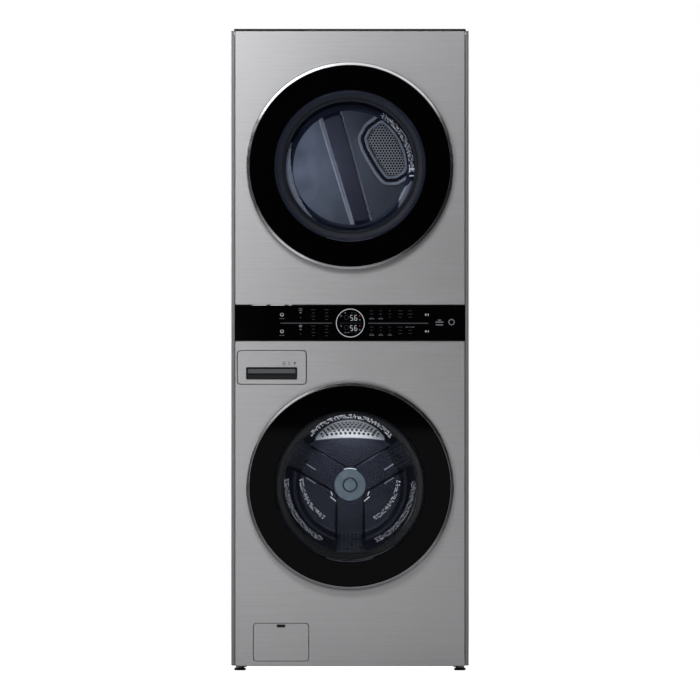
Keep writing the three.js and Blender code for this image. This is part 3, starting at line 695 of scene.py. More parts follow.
SURFACES = {
    "base_frame": ZINC, "middle_deck": ZINC, "control_housing": BLACK, "washer_door_lock": BLACK,
    "blower_housing": ZINC, "dryer_motor": ZINC, "drive_belt": RUBBER,
}


def finish_frame_nodes():
    """The CAD nodes that stay get a material of their own."""
    for node, material in SURFACES.items():
        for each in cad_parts[node].material_slots:
            each.material = material


# ---- Cabinet ----

PANEL_HALF = span("upper_front_panel")[1].x
PORTHOLE_R = 222
LATCH_X = 255
DRAWER_LOW, DRAWER_HIGH = span("drawer_front")
FLAP_TOP = span("filter_flap")[1].z
FLAP_HINGE = {"y": -340.4, "z": 41.6}
PUMP = middle("pump_filter")
SHEET = 1.0  # thickness of the folded steel
EXHAUST_X, EXHAUST_Z = 60, 1060
GLAND_X, GLAND_Z = 250, 1060
INLETS = {"hot": -272, "cold": -228}  # the two inlets, from the middle
INLET_Z = 900


def side_panel(side):
    """A side folded from sheet, with a round front edge and a rear flange."""
    name = "left" if side < 0 else "right"
    low, high = span(f"{name}_side_panel")
    edge = BOX_HIGH.x
    outline = [
        (edge - 10, low.y), (edge, low.y, 8), (edge, high.y, 2.5), (edge - 16, high.y),
        (edge - 16, high.y - SHEET), (edge - SHEET, high.y - SHEET, 1.5), (edge - SHEET, low.y + SHEET, 7),
        (edge - 10, low.y + SHEET),
    ]
    loop = soft(outline, steps=10, closed=True)
    if side < 0:
        loop = [(-u, v) for u, v in reversed(loop)]
    piece(f"{name}_side", lambda bm: plate(bm, loop, (low.z, high.z), 0.3, axis="Z"), SIDE_PAINT,
          replaces=f"{name}_side_panel")


def folded_lip(depth, edge, grip=2.0):
    """Sections of a hole's edge: round, then folded back by a depth."""
    return soft([
        (grip, FACE), (0, FACE, edge), (0, FACE + depth, 0.3), (SHEET, FACE + depth, 0.3),
        (SHEET, FACE + SHEET, 0.3), (grip, FACE + SHEET),
    ])


def front_panel(name, node, axis, openings=()):
    """A pan of brushed sheet with a porthole, a latch slot and other openings."""
    low, high = span(node)
    back = high.y if not openings else -322

    def shape(bm):
        rim = soft([
            (-3.4, FACE), (0, FACE, 2.2), (0, back, 0.3), (-SHEET, back, 0.3),
            (-SHEET, FACE + SHEET, 0.6), (-3.4, FACE + SHEET),
        ])
        outer = rectangle((-PANEL_HALF, PANEL_HALF), (low.z, high.z), 3)
        ends = [sweep(bm, outer, rim)]
        ends.append(sweep(bm, circle(PORTHOLE_R, 0, axis, 160), folded_lip(15, 1.6, grip=6)))
        slot_loop = rectangle((LATCH_X - 10, LATCH_X + 14), (axis - 12, axis + 12), 2.5)
        plain = soft([(3, FACE), (0, FACE, 0.4), (0, FACE + SHEET, 0.4), (3, FACE + SHEET)])
        ends.append(sweep(bm, slot_loop, plain))
        for loop in openings:
            ends.append(sweep(bm, loop, folded_lip(8, 1.0)))
        cap_ends(bm, ends)

    return piece(name, shape, PANEL_STEEL, replaces=node)


def build_front_panels():
    front_panel("upper_panel", "upper_front_panel", DRYER)
    drawer_x, drawer_z = (DRAWER_LOW.x, DRAWER_HIGH.x), (DRAWER_LOW.z, DRAWER_HIGH.z)
    drawer = rectangle(widened(drawer_x, 1), widened(drawer_z, 1), 11)
    flap = rectangle((-285, -121), (27, 139.5), 10)
    front_panel("lower_panel", "lower_front_panel", WASHER, (drawer, flap))

    def lugs(bm):
        for x in (-291, -286), (-120, -115):
            plate(bm, rectangle((-344, -334), (35.6, 47.6), 2.5), x, 0.4,
                  holes=[circle(1.9, FLAP_HINGE["y"], FLAP_HINGE["z"], 20)], axis="X")

    piece("flap_lugs", lugs, DARK_GREY)


def build_top():
    low, high = span("top_cover")

    def shape(bm):
        loop = rectangle((low.x, high.x), (low.y, high.y), 10, 8)
        sections = soft([
            (-9, low.z), (0, low.z, 0.4), (0, high.z, 1.8), (-6, high.z, 0.8),
            (-7.5, high.z - 1.3, 0.8), (-9.5, high.z - 1.3),
        ])
        first, last = sweep(bm, loop, sections, "Z")
        cap(bm, first)
        cap(bm, last)

    piece("top_plate", shape, TOP_BLACK, replaces="top_cover")


def bead(bm, loop, faces, rise=2.8):
    """A raised panel pressed into a sheet; returns its two open rings."""
    rings = []
    for depth in faces:
        sections = soft([(3, depth), (0, depth, 1.2), (-3, depth + rise, 1.2), (-7, depth + rise)])
        first, last = sweep(bm, loop, sections)
        cap(bm, last)
        rings.append(first)
    return rings


def rear_cover(name, node, beads, holes):
    low, high = span(node)
    faces = (high.y, high.y - SHEET)

    def shape(bm):
        outer = rectangle((low.x, high.x), (low.z, high.z), 6)
        rim = [(-5, faces[0]), (-0.3, faces[0]), (0, faces[0] - 0.3), (0, faces[1] + 0.3), (-0.3, faces[1]),
               (-5, faces[1])]
        ends = [sweep(bm, outer, rim)]
        hole_rim = [(1.2, faces[0]), (0, faces[0] - 0.2), (0, faces[1] + 0.2), (1.2, faces[1])]
        ends += [sweep(bm, hole, hole_rim) for hole in holes]
        pressed = [bead(bm, loop, faces) for loop in beads]
        cap(bm, *(first for first, _ in ends), *(rings[0] for rings in pressed))
        cap(bm, *(last for _, last in ends), *(rings[1] for rings in pressed))

    piece(name, shape, ZINC, replaces=node)


def vent_rows(x, z, rows, columns, length=44, pitch=14):
    """Rows of slots, from their lower left one."""
    return [
        centred(x + (length + 10) * column, z + pitch * row, length, 5, 5 * 0.49, 4)
        for row in range(rows) for column in range(columns)
    ]


def build_rear():
    lower_beads = [rectangle(x, (140, 820), 24) for x in ((-290, -30), (30, 290))]
    lower_holes = [rectangle((-301, -199), (879, 921), 4)] + vent_rows(-55, 50, 4, 3)
    rear_cover("lower_rear_sheet", "lower_rear_cover", lower_beads, lower_holes)
    exhaust = circle(52, EXHAUST_X, EXHAUST_Z, 64)
    gland = circle(15, GLAND_X, GLAND_Z, 32)
    upper_beads = [rectangle(x, (1190, 1730), 24) for x in ((-290, -30), (30, 290))]
    upper_holes = [exhaust, gland] + vent_rows(-270, 1020, 7, 4) + vent_rows(-80, 1790, 3, 4)
    rear_cover("upper_rear_sheet", "upper_rear_cover", upper_beads, upper_holes)

    def valve(bm):
        slab(bm, (-296, -204), (330, REAR - 0.4), (884, 916), 3)
        bore, root, crest = 8, 11.2, 12
        end = BOX_HIGH.y - 1
        for x in INLETS.values():
            outline = [(bore, REAR - 8), (root, REAR - 8)]
            for turn in range(4):
                y = REAR + 1.5 + 2.4 * turn
                outline += [(root, y, 0.2), (crest, y + 1.2, 0.2)]
            outline += [(root, end), (bore, end)]
            lathe(bm, outline, x, INLET_Z, 40, radius=0.3, steps=1)
            tube(bm, (0, bore), (REAR - 6, REAR - 4), x, INLET_Z, 24, radius=0)
    piece("water_valve", valve, WHITE, replaces="inlet_valve")
    for name, color in (("hot", srgb(170, 44, 40)), ("cold", srgb(44, 84, 168))):
        def ring(bm, x=INLETS[name]):
            tube(bm, (12.4, 15.5), (REAR + 0.2, REAR + 1.8), x, INLET_Z, 40, radius=0.4)
        piece(f"{name}_inlet_ring", ring, plastic(f"{name} inlet ring", color))

    def cable_gland(bm):
        outline = [(5, 360), (13, 360), (13, 373.8), (19, 374.2), (19, 378), (14, 379)]
        for step in range(2):
            y = 380 + 2 * step
            outline += [(11.5 - step, y, 0.3), (12.5 - step, y + 0.8, 0.3)]
        outline += [(9, 383.6), (5, 383.6)]
        lathe(bm, outline, GLAND_X, GLAND_Z, 48)
    piece("cord_gland", cable_gland, BLACK, replaces="power_inlet")
    build_rear_screws()


def screw(bm, x, y, z, radius=4.0, rise=1.9, direction=1):
    """A pan-head screw with a recess, facing along Y."""
    outline = [
        (0, y), (radius, y), (radius, y + direction * 0.4 * rise), (radius * 0.7, y + direction * rise, 0.8),
        (radius * 0.34, y + direction * rise), (radius * 0.22, y + direction * 0.4 * rise),
        (0, y + direction * 0.4 * rise),
    ]
    lathe(bm, outline, x, z, 20, radius=0.25, steps=2)


def build_rear_screws():
    def shape(bm):
        for x in (-337, 337):
            for z in range(60, 1880, 130):
                screw(bm, x, REAR + 0.05, z)
        for x in (-230, -110, 0, 110, 230):
            for z in (29, 959, 981, 1868):
                screw(bm, x, REAR + 0.05, z)
    piece("rear_screws", shape, BRIGHT)


def build_feet():
    for end in ("front", "rear"):
        for side in ("left", "right"):
            node = f"foot_{end}_{side}"
            centre = middle(node)
            build_foot(node, centre.x, centre.y)


def build_foot(node, x, y):
    pad = [(0, 0), (15, 0, 1), (17, 1.6), (17, 3.2), (16.2, 3.7), (17, 4.2), (17, 7), (12, 8.4), (0, 8.4)]

    def stem(bm):
        plate(bm, circle(11 / math.cos(math.pi / 6), x, y, 6), (8.5, 13.6), 0.6, axis="Z")
        outline = [(0, 13.4)]
        for turn in range(14):
            outline += [(4.6, 13.6 + 1.85 * turn, 0.1), (5.0, 14.5 + 1.85 * turn, 0.1)]
        lathe(bm, outline + [(4.4, 40), (0, 40)], x, y=y, sides=24, axis="Z", radius=0, steps=1)

    piece(f"{node}_pad", lambda bm: lathe(bm, pad, x, y=y, sides=64, axis="Z"), RUBBER, node,
          replaces=node)
    piece(f"{node}_stem", stem, ZINC, node)


# ---- Control panel ----

CONTROL_Z = middle("control_glass").z
PRINT = (FACE - 0.3, FACE + 0.2)  # printed symbols stand barely proud of the glass


def flat_shape(bm, loop, holes=()):
    plate(bm, loop, PRINT, 0.05, holes)


def bar(bm, x, z, length, width):
    flat_shape(bm, centred(x, z, length, width, width * 0.3, 2))


SEGMENTS = {"5": "afgcd", "6": "afgecd"}


def digit(bm, x, z, value, height=15.0):
    """One seven-segment figure, centred at x, z."""
    width, thick = height * 0.46, height * 0.095
    places = {
        "a": (0, height / 2, True), "g": (0, 0, True), "d": (0, -height / 2, True),
        "b": (width / 2, height / 4, False), "c": (width / 2, -height / 4, False),
        "f": (-width / 2, height / 4, False), "e": (-width / 2, -height / 4, False),
    }
    for key in SEGMENTS[value]:
        dx, dz, flat = places[key]
        length = (width if flat else height / 2) - thick * 0.9
        size = (length, thick) if flat else (thick, length)
        flat_shape(bm, centred(x + dx, z + dz, *size, 0.4, 1))


def power_symbol(bm, x, z, radius=5.2):
    start, end = 118, 422
    outside = arc(radius, start, end, 36, x, z)
    inside = arc(radius - 1.7, end, start, 36, x, z)
    flat_shape(bm, outside + inside)
    bar(bm, x, z + radius - 0.6, 1.3, 3.0)


def play_symbol(bm, x, z, size=7.4):
    flat_shape(bm, [(x - 5, z - size / 2), (x + 0.6, z), (x - 5, z + size / 2)])
    bar(bm, x + 4, z, 2.0, size * 0.95)


def build_controls():
    low, high = span("control_glass")
    loop = rectangle((low.x, high.x), (low.z, high.z), 3)
    glass = Shader("control glass", srgb(5, 5, 8), 0.05, Specular_IOR_Level=0.3)
    glass.rough(glass.noise(12.0, 2.0), 0.015)
    piece("control_face", lambda bm: plate(bm, loop, (low.y, high.y), 0.35), glass.material,
          replaces="control_glass")

    z = CONTROL_Z
    row = 24.0  # half the distance between the dryer's and the washer's rows

    def ring(bm):
        flat_shape(bm, circle(42.3, 0.9, z, 128), [circle(40.1, 0.9, z, 128)])
    piece("display_ring", ring, LIT_WHITE)

    def display(bm):
        for dz in (15.2, -15):
            digit(bm, 4.6, z + dz, "5")
            digit(bm, 16.9, z + dz, "6")
    piece("display_digits", display, glowing("display figures", srgb(200, 203, 206), 0.5))

    def marks(bm):
        for dx, dz in ((28.8, 9.4), (28.8, -19.8), (-14, 30), (-26, 21), (-26, -8.6)):
            flat_shape(bm, circle(2.1, dx, z + dz, 16))
        for dx in (-13.5, -4.5):
            bar(bm, dx, z - 28, 5.2, 2.2)
    piece("display_marks", marks, LIT_SOFT)

    def dim_segments(bm):
        for dz in (16.2, -13.4):
            flat_shape(bm, circle(6.8, -10.8, z + dz, 32), [circle(5.6, -10.8, z + dz, 32)])
        for dx in (6, 16):
            bar(bm, dx, z + 30, 5, 1.6)
            bar(bm, dx, z - 28, 5, 1.6)
        bar(bm, 0.9, z, 66, 1.2)
    piece("display_faint_marks", dim_segments, LIT_FAINT)

    def red_lights(bm):
        for dz in (21, -8.4):
            flat_shape(bm, circle(2.5, 28.8, z + dz, 20))
    piece("display_red_lights", red_lights, LIT_RED)

    def lines(bm):
        bar(bm, -129, z - 0.4, 153, 3.4)
        bar(bm, 142.5, z - 0.8, 177, 3.4)
    piece("panel_lines", lines, LINE_GREY)

    def switches(bm):
        for dz in (row + 0.5, -row - 0.5):
            power_symbol(bm, -200.4, z + dz)
            play_symbol(bm, 226.5, z + dz)
    piece("panel_symbols", switches, LIT_WHITE)

    def end_mark(bm):
        flat_shape(bm, circle(9.4, 299, z + 2.6, 48), [circle(6.4, 299, z + 2.6, 48)])
        for dz, length in ((8.5, 10), (2.6, 24), (-5.4, 22)):
            bar(bm, 263.5, z + dz, length, 3.4)
    piece("panel_end_mark", end_mark, LIT_SOFT)
    build_program_marks(z, row)


def build_program_marks(z, row):
    """Columns of little lamps and captions for the programs, as plain dashes and dots."""

    def bright(bm):
        for dz in (42, 37):
            for dx in (-149.5, -145.6, -141.8):
                bar(bm, dx, z + dz, 2.6, 2.2)
        bar(bm, -145.6, z + 30.5, 5.6, 4)
        bar(bm, -145.6, z - 9, 8.6, 6.5)
        bar(bm, -145.6, z - 19, 5.6, 3)
        for dz in (12.4, -35.6):
            for x, length in ((63.5, 16), (90.5, 14), (117, 12)):
                if dz > 0 and x > 100:
                    continue
                for part in (-0.32, 0.02, 0.34):
                    bar(bm, x + part * length, z + dz, length * 0.27, 2.1)
        for part in (-10, -3.4, 3.2, 9.6):
            bar(bm, 177 + part, z - 12, 5.0, 2.3)
        for dz in (13, -36.5):
            for part in (-5, 0, 5):
                bar(bm, -200.4 + part, z + dz, 3.6, 1.7)
    piece("program_captions", bright, LIT_SOFT)

    def faint(bm):
        for x in (-108, -69):
            for side in (1, -1):
                for k, length in enumerate((12, 8, 11, 7)):
                    bar(bm, x, z + side * row + 15 - 9.5 * k, length, 2)
        for x, wide in ((63.5, 11), (90.5, 9), (117, 8), (148, 15), (177, 15)):
            for side in (1, -1):
                for k in range(3):
                    bar(bm, x, z + side * row + 12 - 9.5 * k, wide * (0.6 + 0.2 * ((k + side) % 3)), 1.8)
        for side in (1, -1):
            flat_shape(bm, circle(2.0, -145.6, z + side * row - 8, 16))
    piece("program_faint_marks", faint, LIT_FAINT)


# ---- Doors ----

HINGE_X, HINGE_Y = -284, -372
KNUCKLE_R = 4.8
SCREW_CIRCLE = 243  # radius of the ring of screws behind a door


def build_door(prefix, axis):
    body = f"{prefix}_door"
    trim_low, trim_high = span(f"{prefix}_door_trim")
    inner = GLASS_R + 0.4
    trim = [(inner, trim_low.y), (inner + 0.8, trim_low.y, 0.6), (TRIM_R - 1.2, trim_low.y + 0.7, 1),
            (TRIM_R, trim_low.y + 3, 1), (TRIM_R, trim_high.y), (inner, trim_high.y)]
    turned_piece(f"{prefix}_trim_ring", trim, axis, TRIM, body, "chrome", f"{prefix}_door_trim", 224,
                 radius=0.4)

    back = GLASS_FRONT + 4
    glass = [(0, GLASS_FRONT), (GLASS_R - 1, GLASS_FRONT, 2), (GLASS_R, back - 1.5, 0.6), (GLASS_R, back),
             (226, back), (0, back)]
    turned_piece(f"{prefix}_front_glass", glass, axis, door_glass(f"{prefix} door glass", axis), body,
                 "black_glass", f"{prefix}_door_glass", 224, radius=0.4)
    build_door_frame(prefix, axis, body)
    build_bezel(prefix, axis, body)
    build_hinge(prefix, axis)


def build_door_frame(prefix, axis, body):
    """The grey shell behind the glass, with a pocket for the hinge."""
    front = GLASS_FRONT + 4.4
    wall = 3
    back = DOOR_BACK - 0.4
    rim = GLASS_R
    shell = [
        (197, front, 0.5), (197 + wall, front, 0.5), (197 + wall, back - wall, 2), (283.3, back - wall, 6),
        (rim - wall, back - 17.8, 4), (rim - wall, front, 0.5), (rim, front, 0.5), (rim, back - 16.9, 5),
        (285, back, 6), (197, back, 2),
    ]
    frame_shell = turned_piece(f"{prefix}_door_shell", shell, axis, SHELL_GREY, body, "grey_plastic",
                               f"{prefix}_door_frame", 192)
    cut(frame_shell, lambda bm: slab(bm, (-291.5, -221), (-377.7, -340), (axis - 45.5, axis + 45.5), 2, 2))
    frame_shell.data.set_sharp_from_angle(angle=math.radians(38))

    def knuckle(bm):
        slab(bm, (-294.5, HINGE_X), (HINGE_Y - 4, HINGE_Y + 4), (axis - 34, axis + 34), 1)
        tube(bm, (2.9, KNUCKLE_R), (axis - 34, axis + 34), HINGE_X, y=HINGE_Y, sides=32, axis="Z", radius=0.3)
    piece(f"{prefix}_door_knuckle", knuckle, CAST, body)

    def hook(bm):
        eye = rectangle((-334, -327), (axis - 4, axis + 4), 1.5, 4)
        outline = rectangle((DOOR_BACK - 1, -322), (axis - 7, axis + 7), 3, 4)
        plate(bm, outline, (LATCH_X - 4, LATCH_X + 4), 0.8, holes=[eye], axis="X")
    piece(f"{prefix}_latch_hook", hook, BRIGHT, body)

    def screws(bm):
        for k in range(10):
            angle = math.radians(18 + 36 * k)
            x, z = SCREW_CIRCLE * math.cos(angle), axis + SCREW_CIRCLE * math.sin(angle)
            by_hinge = x < -215 and abs(z - axis) < 60
            if not by_hinge:
                tube(bm, (0, 6.5), (back + 0.1, back + 0.4), x, z, 24, radius=0)
                screw(bm, x, back + 0.3, z, 4.4, 1.5)
    piece(f"{prefix}_door_screws", screws, BRIGHT, body)


def build_bezel(prefix, axis, body):
    """The dark ring seen through the edge of the clear glass, with its paler outer lip."""
    face = GLASS_FRONT + 4.6
    # The dryer gets the paler copies of the washer's bezel plastics: painted light.
    shade, edge_shade = (NAVY, LIP_BLUE) if prefix == "washer" else (PAINTED_LIGHT_BEZEL, PAINTED_LIGHT_RIM)
    ring = [(200.6, face + 1.6), (214.6, face + 0.4), (214.6, face + 4), (200.6, face + 4.8)]
    turned_piece(f"{prefix}_inner_bezel", ring, axis, shade, body, "black_plastic", sides=192, radius=0.3)
    if prefix == "dryer":
        # A ring of the paler bezel plastic inside the dryer's bezel, as painted light.
        cone = [(190, face + 10), (196.9, face + 4), (196.9, face + 6), (190, face + 12)]
        turned_piece("dryer_inner_cone", cone, axis, shade, body, "black_plastic", sides=192, radius=0.3)
    lip = [(214.8, face + 3.4), (216, face + 0.8, 1), (218.4, face + 0.1, 1.2), (221, face + 1.4, 1.2),
           (227, face + 3), (227, face + 4), (214.8, face + 4)]
    turned_piece(f"{prefix}_bezel_lip", lip, axis, edge_shade, body, "grey_plastic", sides=192, radius=0.4)

    def glint(bm):
        rod(bm, [(x, face + 0.9, axis + z) for x, z in arc(222, 252, 288, 24)], 1.0, 8)
    piece(f"{prefix}_bezel_glint", glint, GLINT, body)


def build_hinge(prefix, axis):
    """The fixed leaf on the panel, with two bent arms and the pin."""

    def shape(bm):
        slab(bm, (-262, -225), (FACE - 2.5, FACE - 0.3), (axis - 45, axis + 45), 0.8, 5)
        for low, high in ((35, 41), (-41, -35)):
            z = (axis + low, axis + high)
            tube(bm, (0, KNUCKLE_R), z, HINGE_X, y=HINGE_Y, sides=32, axis="Z", radius=0.4)
            outline = soft([
                (HINGE_X, HINGE_Y - KNUCKLE_R), (-238, HINGE_Y - KNUCKLE_R, 6), (-238, FACE - 1.5),
                (-248, FACE - 1.5), (-248, HINGE_Y + 2.2, 3), (-278, HINGE_Y + 2.2, 2), (-281, HINGE_Y + 4.2),
                (HINGE_X, HINGE_Y + 4.6),
            ], steps=6, closed=True)
            plate(bm, outline, z, 0.8, axis="Z")
        pin = (axis - 42.5, axis + 42.5)
        tube(bm, (0, 2.5), pin, HINGE_X, y=HINGE_Y, sides=24, axis="Z", radius=0.6)
    piece(f"{prefix}_hinge_leaf", shape, CAST, replaces=f"{prefix}_door_hinge")

    def screws(bm):
        for dz in (-24, 0, 24):
            screw(bm, -243, FACE - 2.45, axis + dz, 4.4, 1.4, direction=-1)
    piece(f"{prefix}_hinge_screws", screws, BRIGHT)


def build_door_bowls():
    """The washer door's deep bowl and the dryer door's flat dish, with the same rim."""
    tinted = srgb(46, 51, 62)
    rim = [
        (190, DOOR_BACK, 0.8), (212, DOOR_BACK, 1), (212, DOOR_BACK + 4.5, 1), (196, DOOR_BACK + 4.5, 3),
    ]
    bowl = rim + [
        (160, -250, 12), (150, -240, 8), (0, -236), (0, -241), (147, -245, 7), (154.5, -251, 8),
        (190, -343, 3),
    ]
    turned_piece("washer_bowl", bowl, WASHER, clear_glass("bowl glass", tinted, 0.05, 0.2), "washer_door",
                 "clear_glass", "washer_door_bowl", 160, steps=6)
    dish = rim + [(182, -320, 10), (0, -312), (0, -316), (178.5, -324, 9), (190, -343.5, 3)]
    turned_piece("dryer_window", dish, DRYER, clear_glass("window glass", tinted, 0.04, 0.3), "dryer_door",
                 "clear_glass", "dryer_door_window", 160, steps=6)


# ---- Washer inside ----

DRUM_LOW, DRUM_HIGH = span("washer_drum")
DRUM_R = DRUM_HIGH.x
DRUM_FRONT = DRUM_LOW.y
DRUM_BACK = DRUM_HIGH.y
CONE_START = 112  # depth at which the drum's wall turns into its coned back
FLAT_R = 168  # flat middle of the drum's back
CONE_SLOPE = (DRUM_BACK - CONE_START) / (DRUM_R - FLAT_R)
ARM_ANGLES = (30, 150, 270)


def build_gasket():
    """The door seal, with its folds, between the panel and the tub."""
    inner = [
        (212, -341, 1), (212, -331, 2), (216, -325, 2), (209.5, -318, 2.5), (214, -311.5, 2),
        (203.5, -304, 3), (200.5, -297, 2), (200.5, -262.5, 1.2),
    ]
    outer = [
        (207, -262.5, 1.2), (207, -296, 2), (208.5, -300.5, 2), (218, -309.5, 2), (214.2, -317.6, 2),
        (219.3, -324, 2), (217, -332, 2), (219.3, -341, 0.6),
    ]
    seal = piece("door_seal", lambda bm: lathe(bm, inner + outer, 0, WASHER, 160), GREY_RUBBER,
                 replaces="washer_gasket", ride=False)
    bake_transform(seal)


def perforated_wall(bm, radius, depths, cell, hole_r, z):
    """A cylinder of square cells, each with an eight-sided hole; plain where a lifter stands."""
    around = round(2 * math.pi * radius / cell)
    rows = round((depths[1] - depths[0]) / cell)

    def at(u, v):
        angle = 2 * math.pi * u / around
        depth = depths[0] + (depths[1] - depths[0]) * v / rows
        return Vector((radius * math.cos(angle), depth, z + radius * math.sin(angle))) * MM

    grid = [[bm.verts.new(at(u, v)) for v in range(rows + 1)] for u in range(around)]
    share = hole_r / cell
    for u in range(around):
        degrees = 360 * (u + 0.5) / around
        under_lifter = any(abs((degrees - arm + 180) % 360 - 180) < 13 for arm in ARM_ANGLES)
        for v in range(rows):
            corners = (grid[u][v], grid[(u + 1) % around][v], grid[(u + 1) % around][v + 1], grid[u][v + 1])
            if under_lifter or v in (0, rows - 1):
                bm.faces.new(corners).smooth = True
                continue
            hole = []
            for k in range(8):
                a = math.radians(-112.5 + 45 * k)
                hole.append(bm.verts.new(at(u + 0.5 + share * math.cos(a), v + 0.5 + share * math.sin(a))))
            for k in range(4):
                after = (k + 1) % 4
                side = (corners[k], corners[after], hole[(2 * k + 1) % 8], hole[2 * k])
                bm.faces.new(side).smooth = True
                bm.faces.new((corners[after], hole[(2 * k + 2) % 8], hole[2 * k + 1])).smooth = True


def drum_back_depth(x, z):
    """Depth of the drum's back: flat, then a cone, with three broad arms and a hub standing out of it."""
    distance = math.hypot(x, z)
    depth = DRUM_BACK - 1.2 - max(0.0, distance - FLAT_R) * CONE_SLOPE
    rise = 0.0
    for arm in ARM_ANGLES:
        a = math.radians(arm)
        along = x * math.cos(a) + z * math.sin(a)
        across = abs(-x * math.sin(a) + z * math.cos(a))
        if along > 0:
            rise = max(rise, 9 * smoothstep((42.5 - across) / 4))
    ring = 3 * smoothstep(1 - abs(distance - 147) / 6) if z < 30 else 0.0
    rise = max(rise, ring)
    hub = 16 * smoothstep((50 - distance) / 4)
    groove = 1.5 * smoothstep(1 - abs(distance - 20.5) / 2)
    return depth - max(rise, hub - groove)


def drum_back_finish(x, z):
    """The hub is pale cast metal, and the rest drum steel in painted shade."""
    return 1 if math.hypot(x, z) < 48 else 0


CRESCENT_TOP = 195
CRESCENT_FOOT = 139  # height of the perforated plate's lower edge, in the middle
CRESCENT_HALF = 103
CRESCENT_CURVE = 126  # radius of its upper edge


def crescent_head(x):
    """Height of the perforated plate's upper edge."""
    return CRESCENT_TOP - CRESCENT_CURVE + math.sqrt(max(0, CRESCENT_CURVE ** 2 - x ** 2))


def crescent_point(across, up, lift=1.4):
    """A place on the perforated plate in a drum sector that points up; across is -1 to 1, up is 0 to 1."""
    x = CRESCENT_HALF * across
    foot = CRESCENT_FOOT - 0.0007 * x ** 2
    z = foot + (max(crescent_head(x), foot + 9) - foot) * up
    return Vector((x, drum_back_depth(x, z) - lift, z))


def build_crescent():
    """The perforated plate at the top of the drum's back, with its rolled rim; its pale, faintly glowing
    steel is painted light on the lit top of the back.
    """
    columns, rows = 72, 20

    def sheet(bm):
        grid = [[bm.verts.new((crescent_point(2 * u / columns - 1, v / rows) + Vector((0, 0, WASHER))) * MM)
                 for v in range(rows + 1)] for u in range(columns + 1)]
        for u in range(columns):
            for v in range(rows):
                bm.faces.new((grid[u][v], grid[u + 1][v], grid[u + 1][v + 1], grid[u][v + 1])).smooth = True
    plate_piece = piece("drum_crescent_plate", sheet, LIT_CRESCENT_STEEL, "washer_drum")
    thicken(plate_piece, 0.8, offset=0)

    def rim(bm):
        path = [crescent_point(2 * u / columns - 1, 0) for u in range(columns + 1)]
        path += [crescent_point(1, v / 6) for v in range(1, 6)]
        path += [crescent_point(2 * u / columns - 1, 1) for u in range(columns, -1, -1)]
        path += [crescent_point(-1, v / 6) for v in range(5, 0, -1)]
        rod(bm, [p + Vector((0, -0.4, WASHER)) for p in path], 1.7, 8, closed=True)
    piece("drum_crescent_rim", rim, BRIGHT, "washer_drum")

    def holes(bm):
        for row, (height, radius) in enumerate(((154, 3.4), (164, 3.2), (173, 2.9), (180, 2.5), (186, 2.1))):
            for column in range(-9, 10):
                x = (column + (row % 2) / 2) * (13.6 - 0.5 * row)
                z = height - (0.0011 + 0.0006 * row) * x * x
                if z > crescent_head(x) - 5 or abs(x) > CRESCENT_HALF - 8:
                    continue
                spot = math.hypot(x, z)
                slope = CONE_SLOPE if spot > FLAT_R else 0.0
                normal = Vector((-x / spot * slope, -1, -z / spot * slope))
                punched(bm, Vector((x, drum_back_depth(x, z) - 1.9, WASHER + z)), normal, radius)
    piece("drum_crescent_holes", holes, [BRIGHT, SHADOW], "washer_drum")


def painted_glint_band(bm, angles, radii, depth, axis, pitch=4.8, size=2.1, rise=0.9):
    """Close rows of small dimples along an arc about a door's axis, as painted glints, with a few in the
    second slot's shaded steel; depth is a function of place.
    """
    rows = max(1, round((radii[1] - radii[0]) / (pitch * 0.8)))
    for row in range(rows):
        radius = radii[0] + (row + 0.5) * (radii[1] - radii[0]) / rows
        step = math.degrees(pitch / radius)
        count = int((angles[1] - angles[0]) / step)
        for k in range(count):
            a = math.radians(angles[0] + (k + 0.5 * (row % 2)) * step)
            x, z = radius * math.cos(a), radius * math.sin(a)
            tilt = Vector((0.5 * math.sin(7.3 * k + row), -1, 0.5 * math.cos(5.1 * k + 2 * row)))
            first = len(bm.faces)
            radius_here = size * (0.85 + 0.2 * math.sin(2.9 * k * k))
            stud(bm, Vector((x, depth(x, z), axis + z)), tilt, radius_here, rise, 6)
            if math.sin(1.7 * k * k + 2.3 * row) < -0.4:
                bm.faces.ensure_lookup_table()
                for face in bm.faces[first:]:
                    face.material_index = 1


def line_on_back(bm, path, lift, radius):
    """A thin rod laid along the drum's back."""
    rod(bm, [(x, drum_back_depth(x, z) - lift, WASHER + z) for x, z in path], radius, 8)


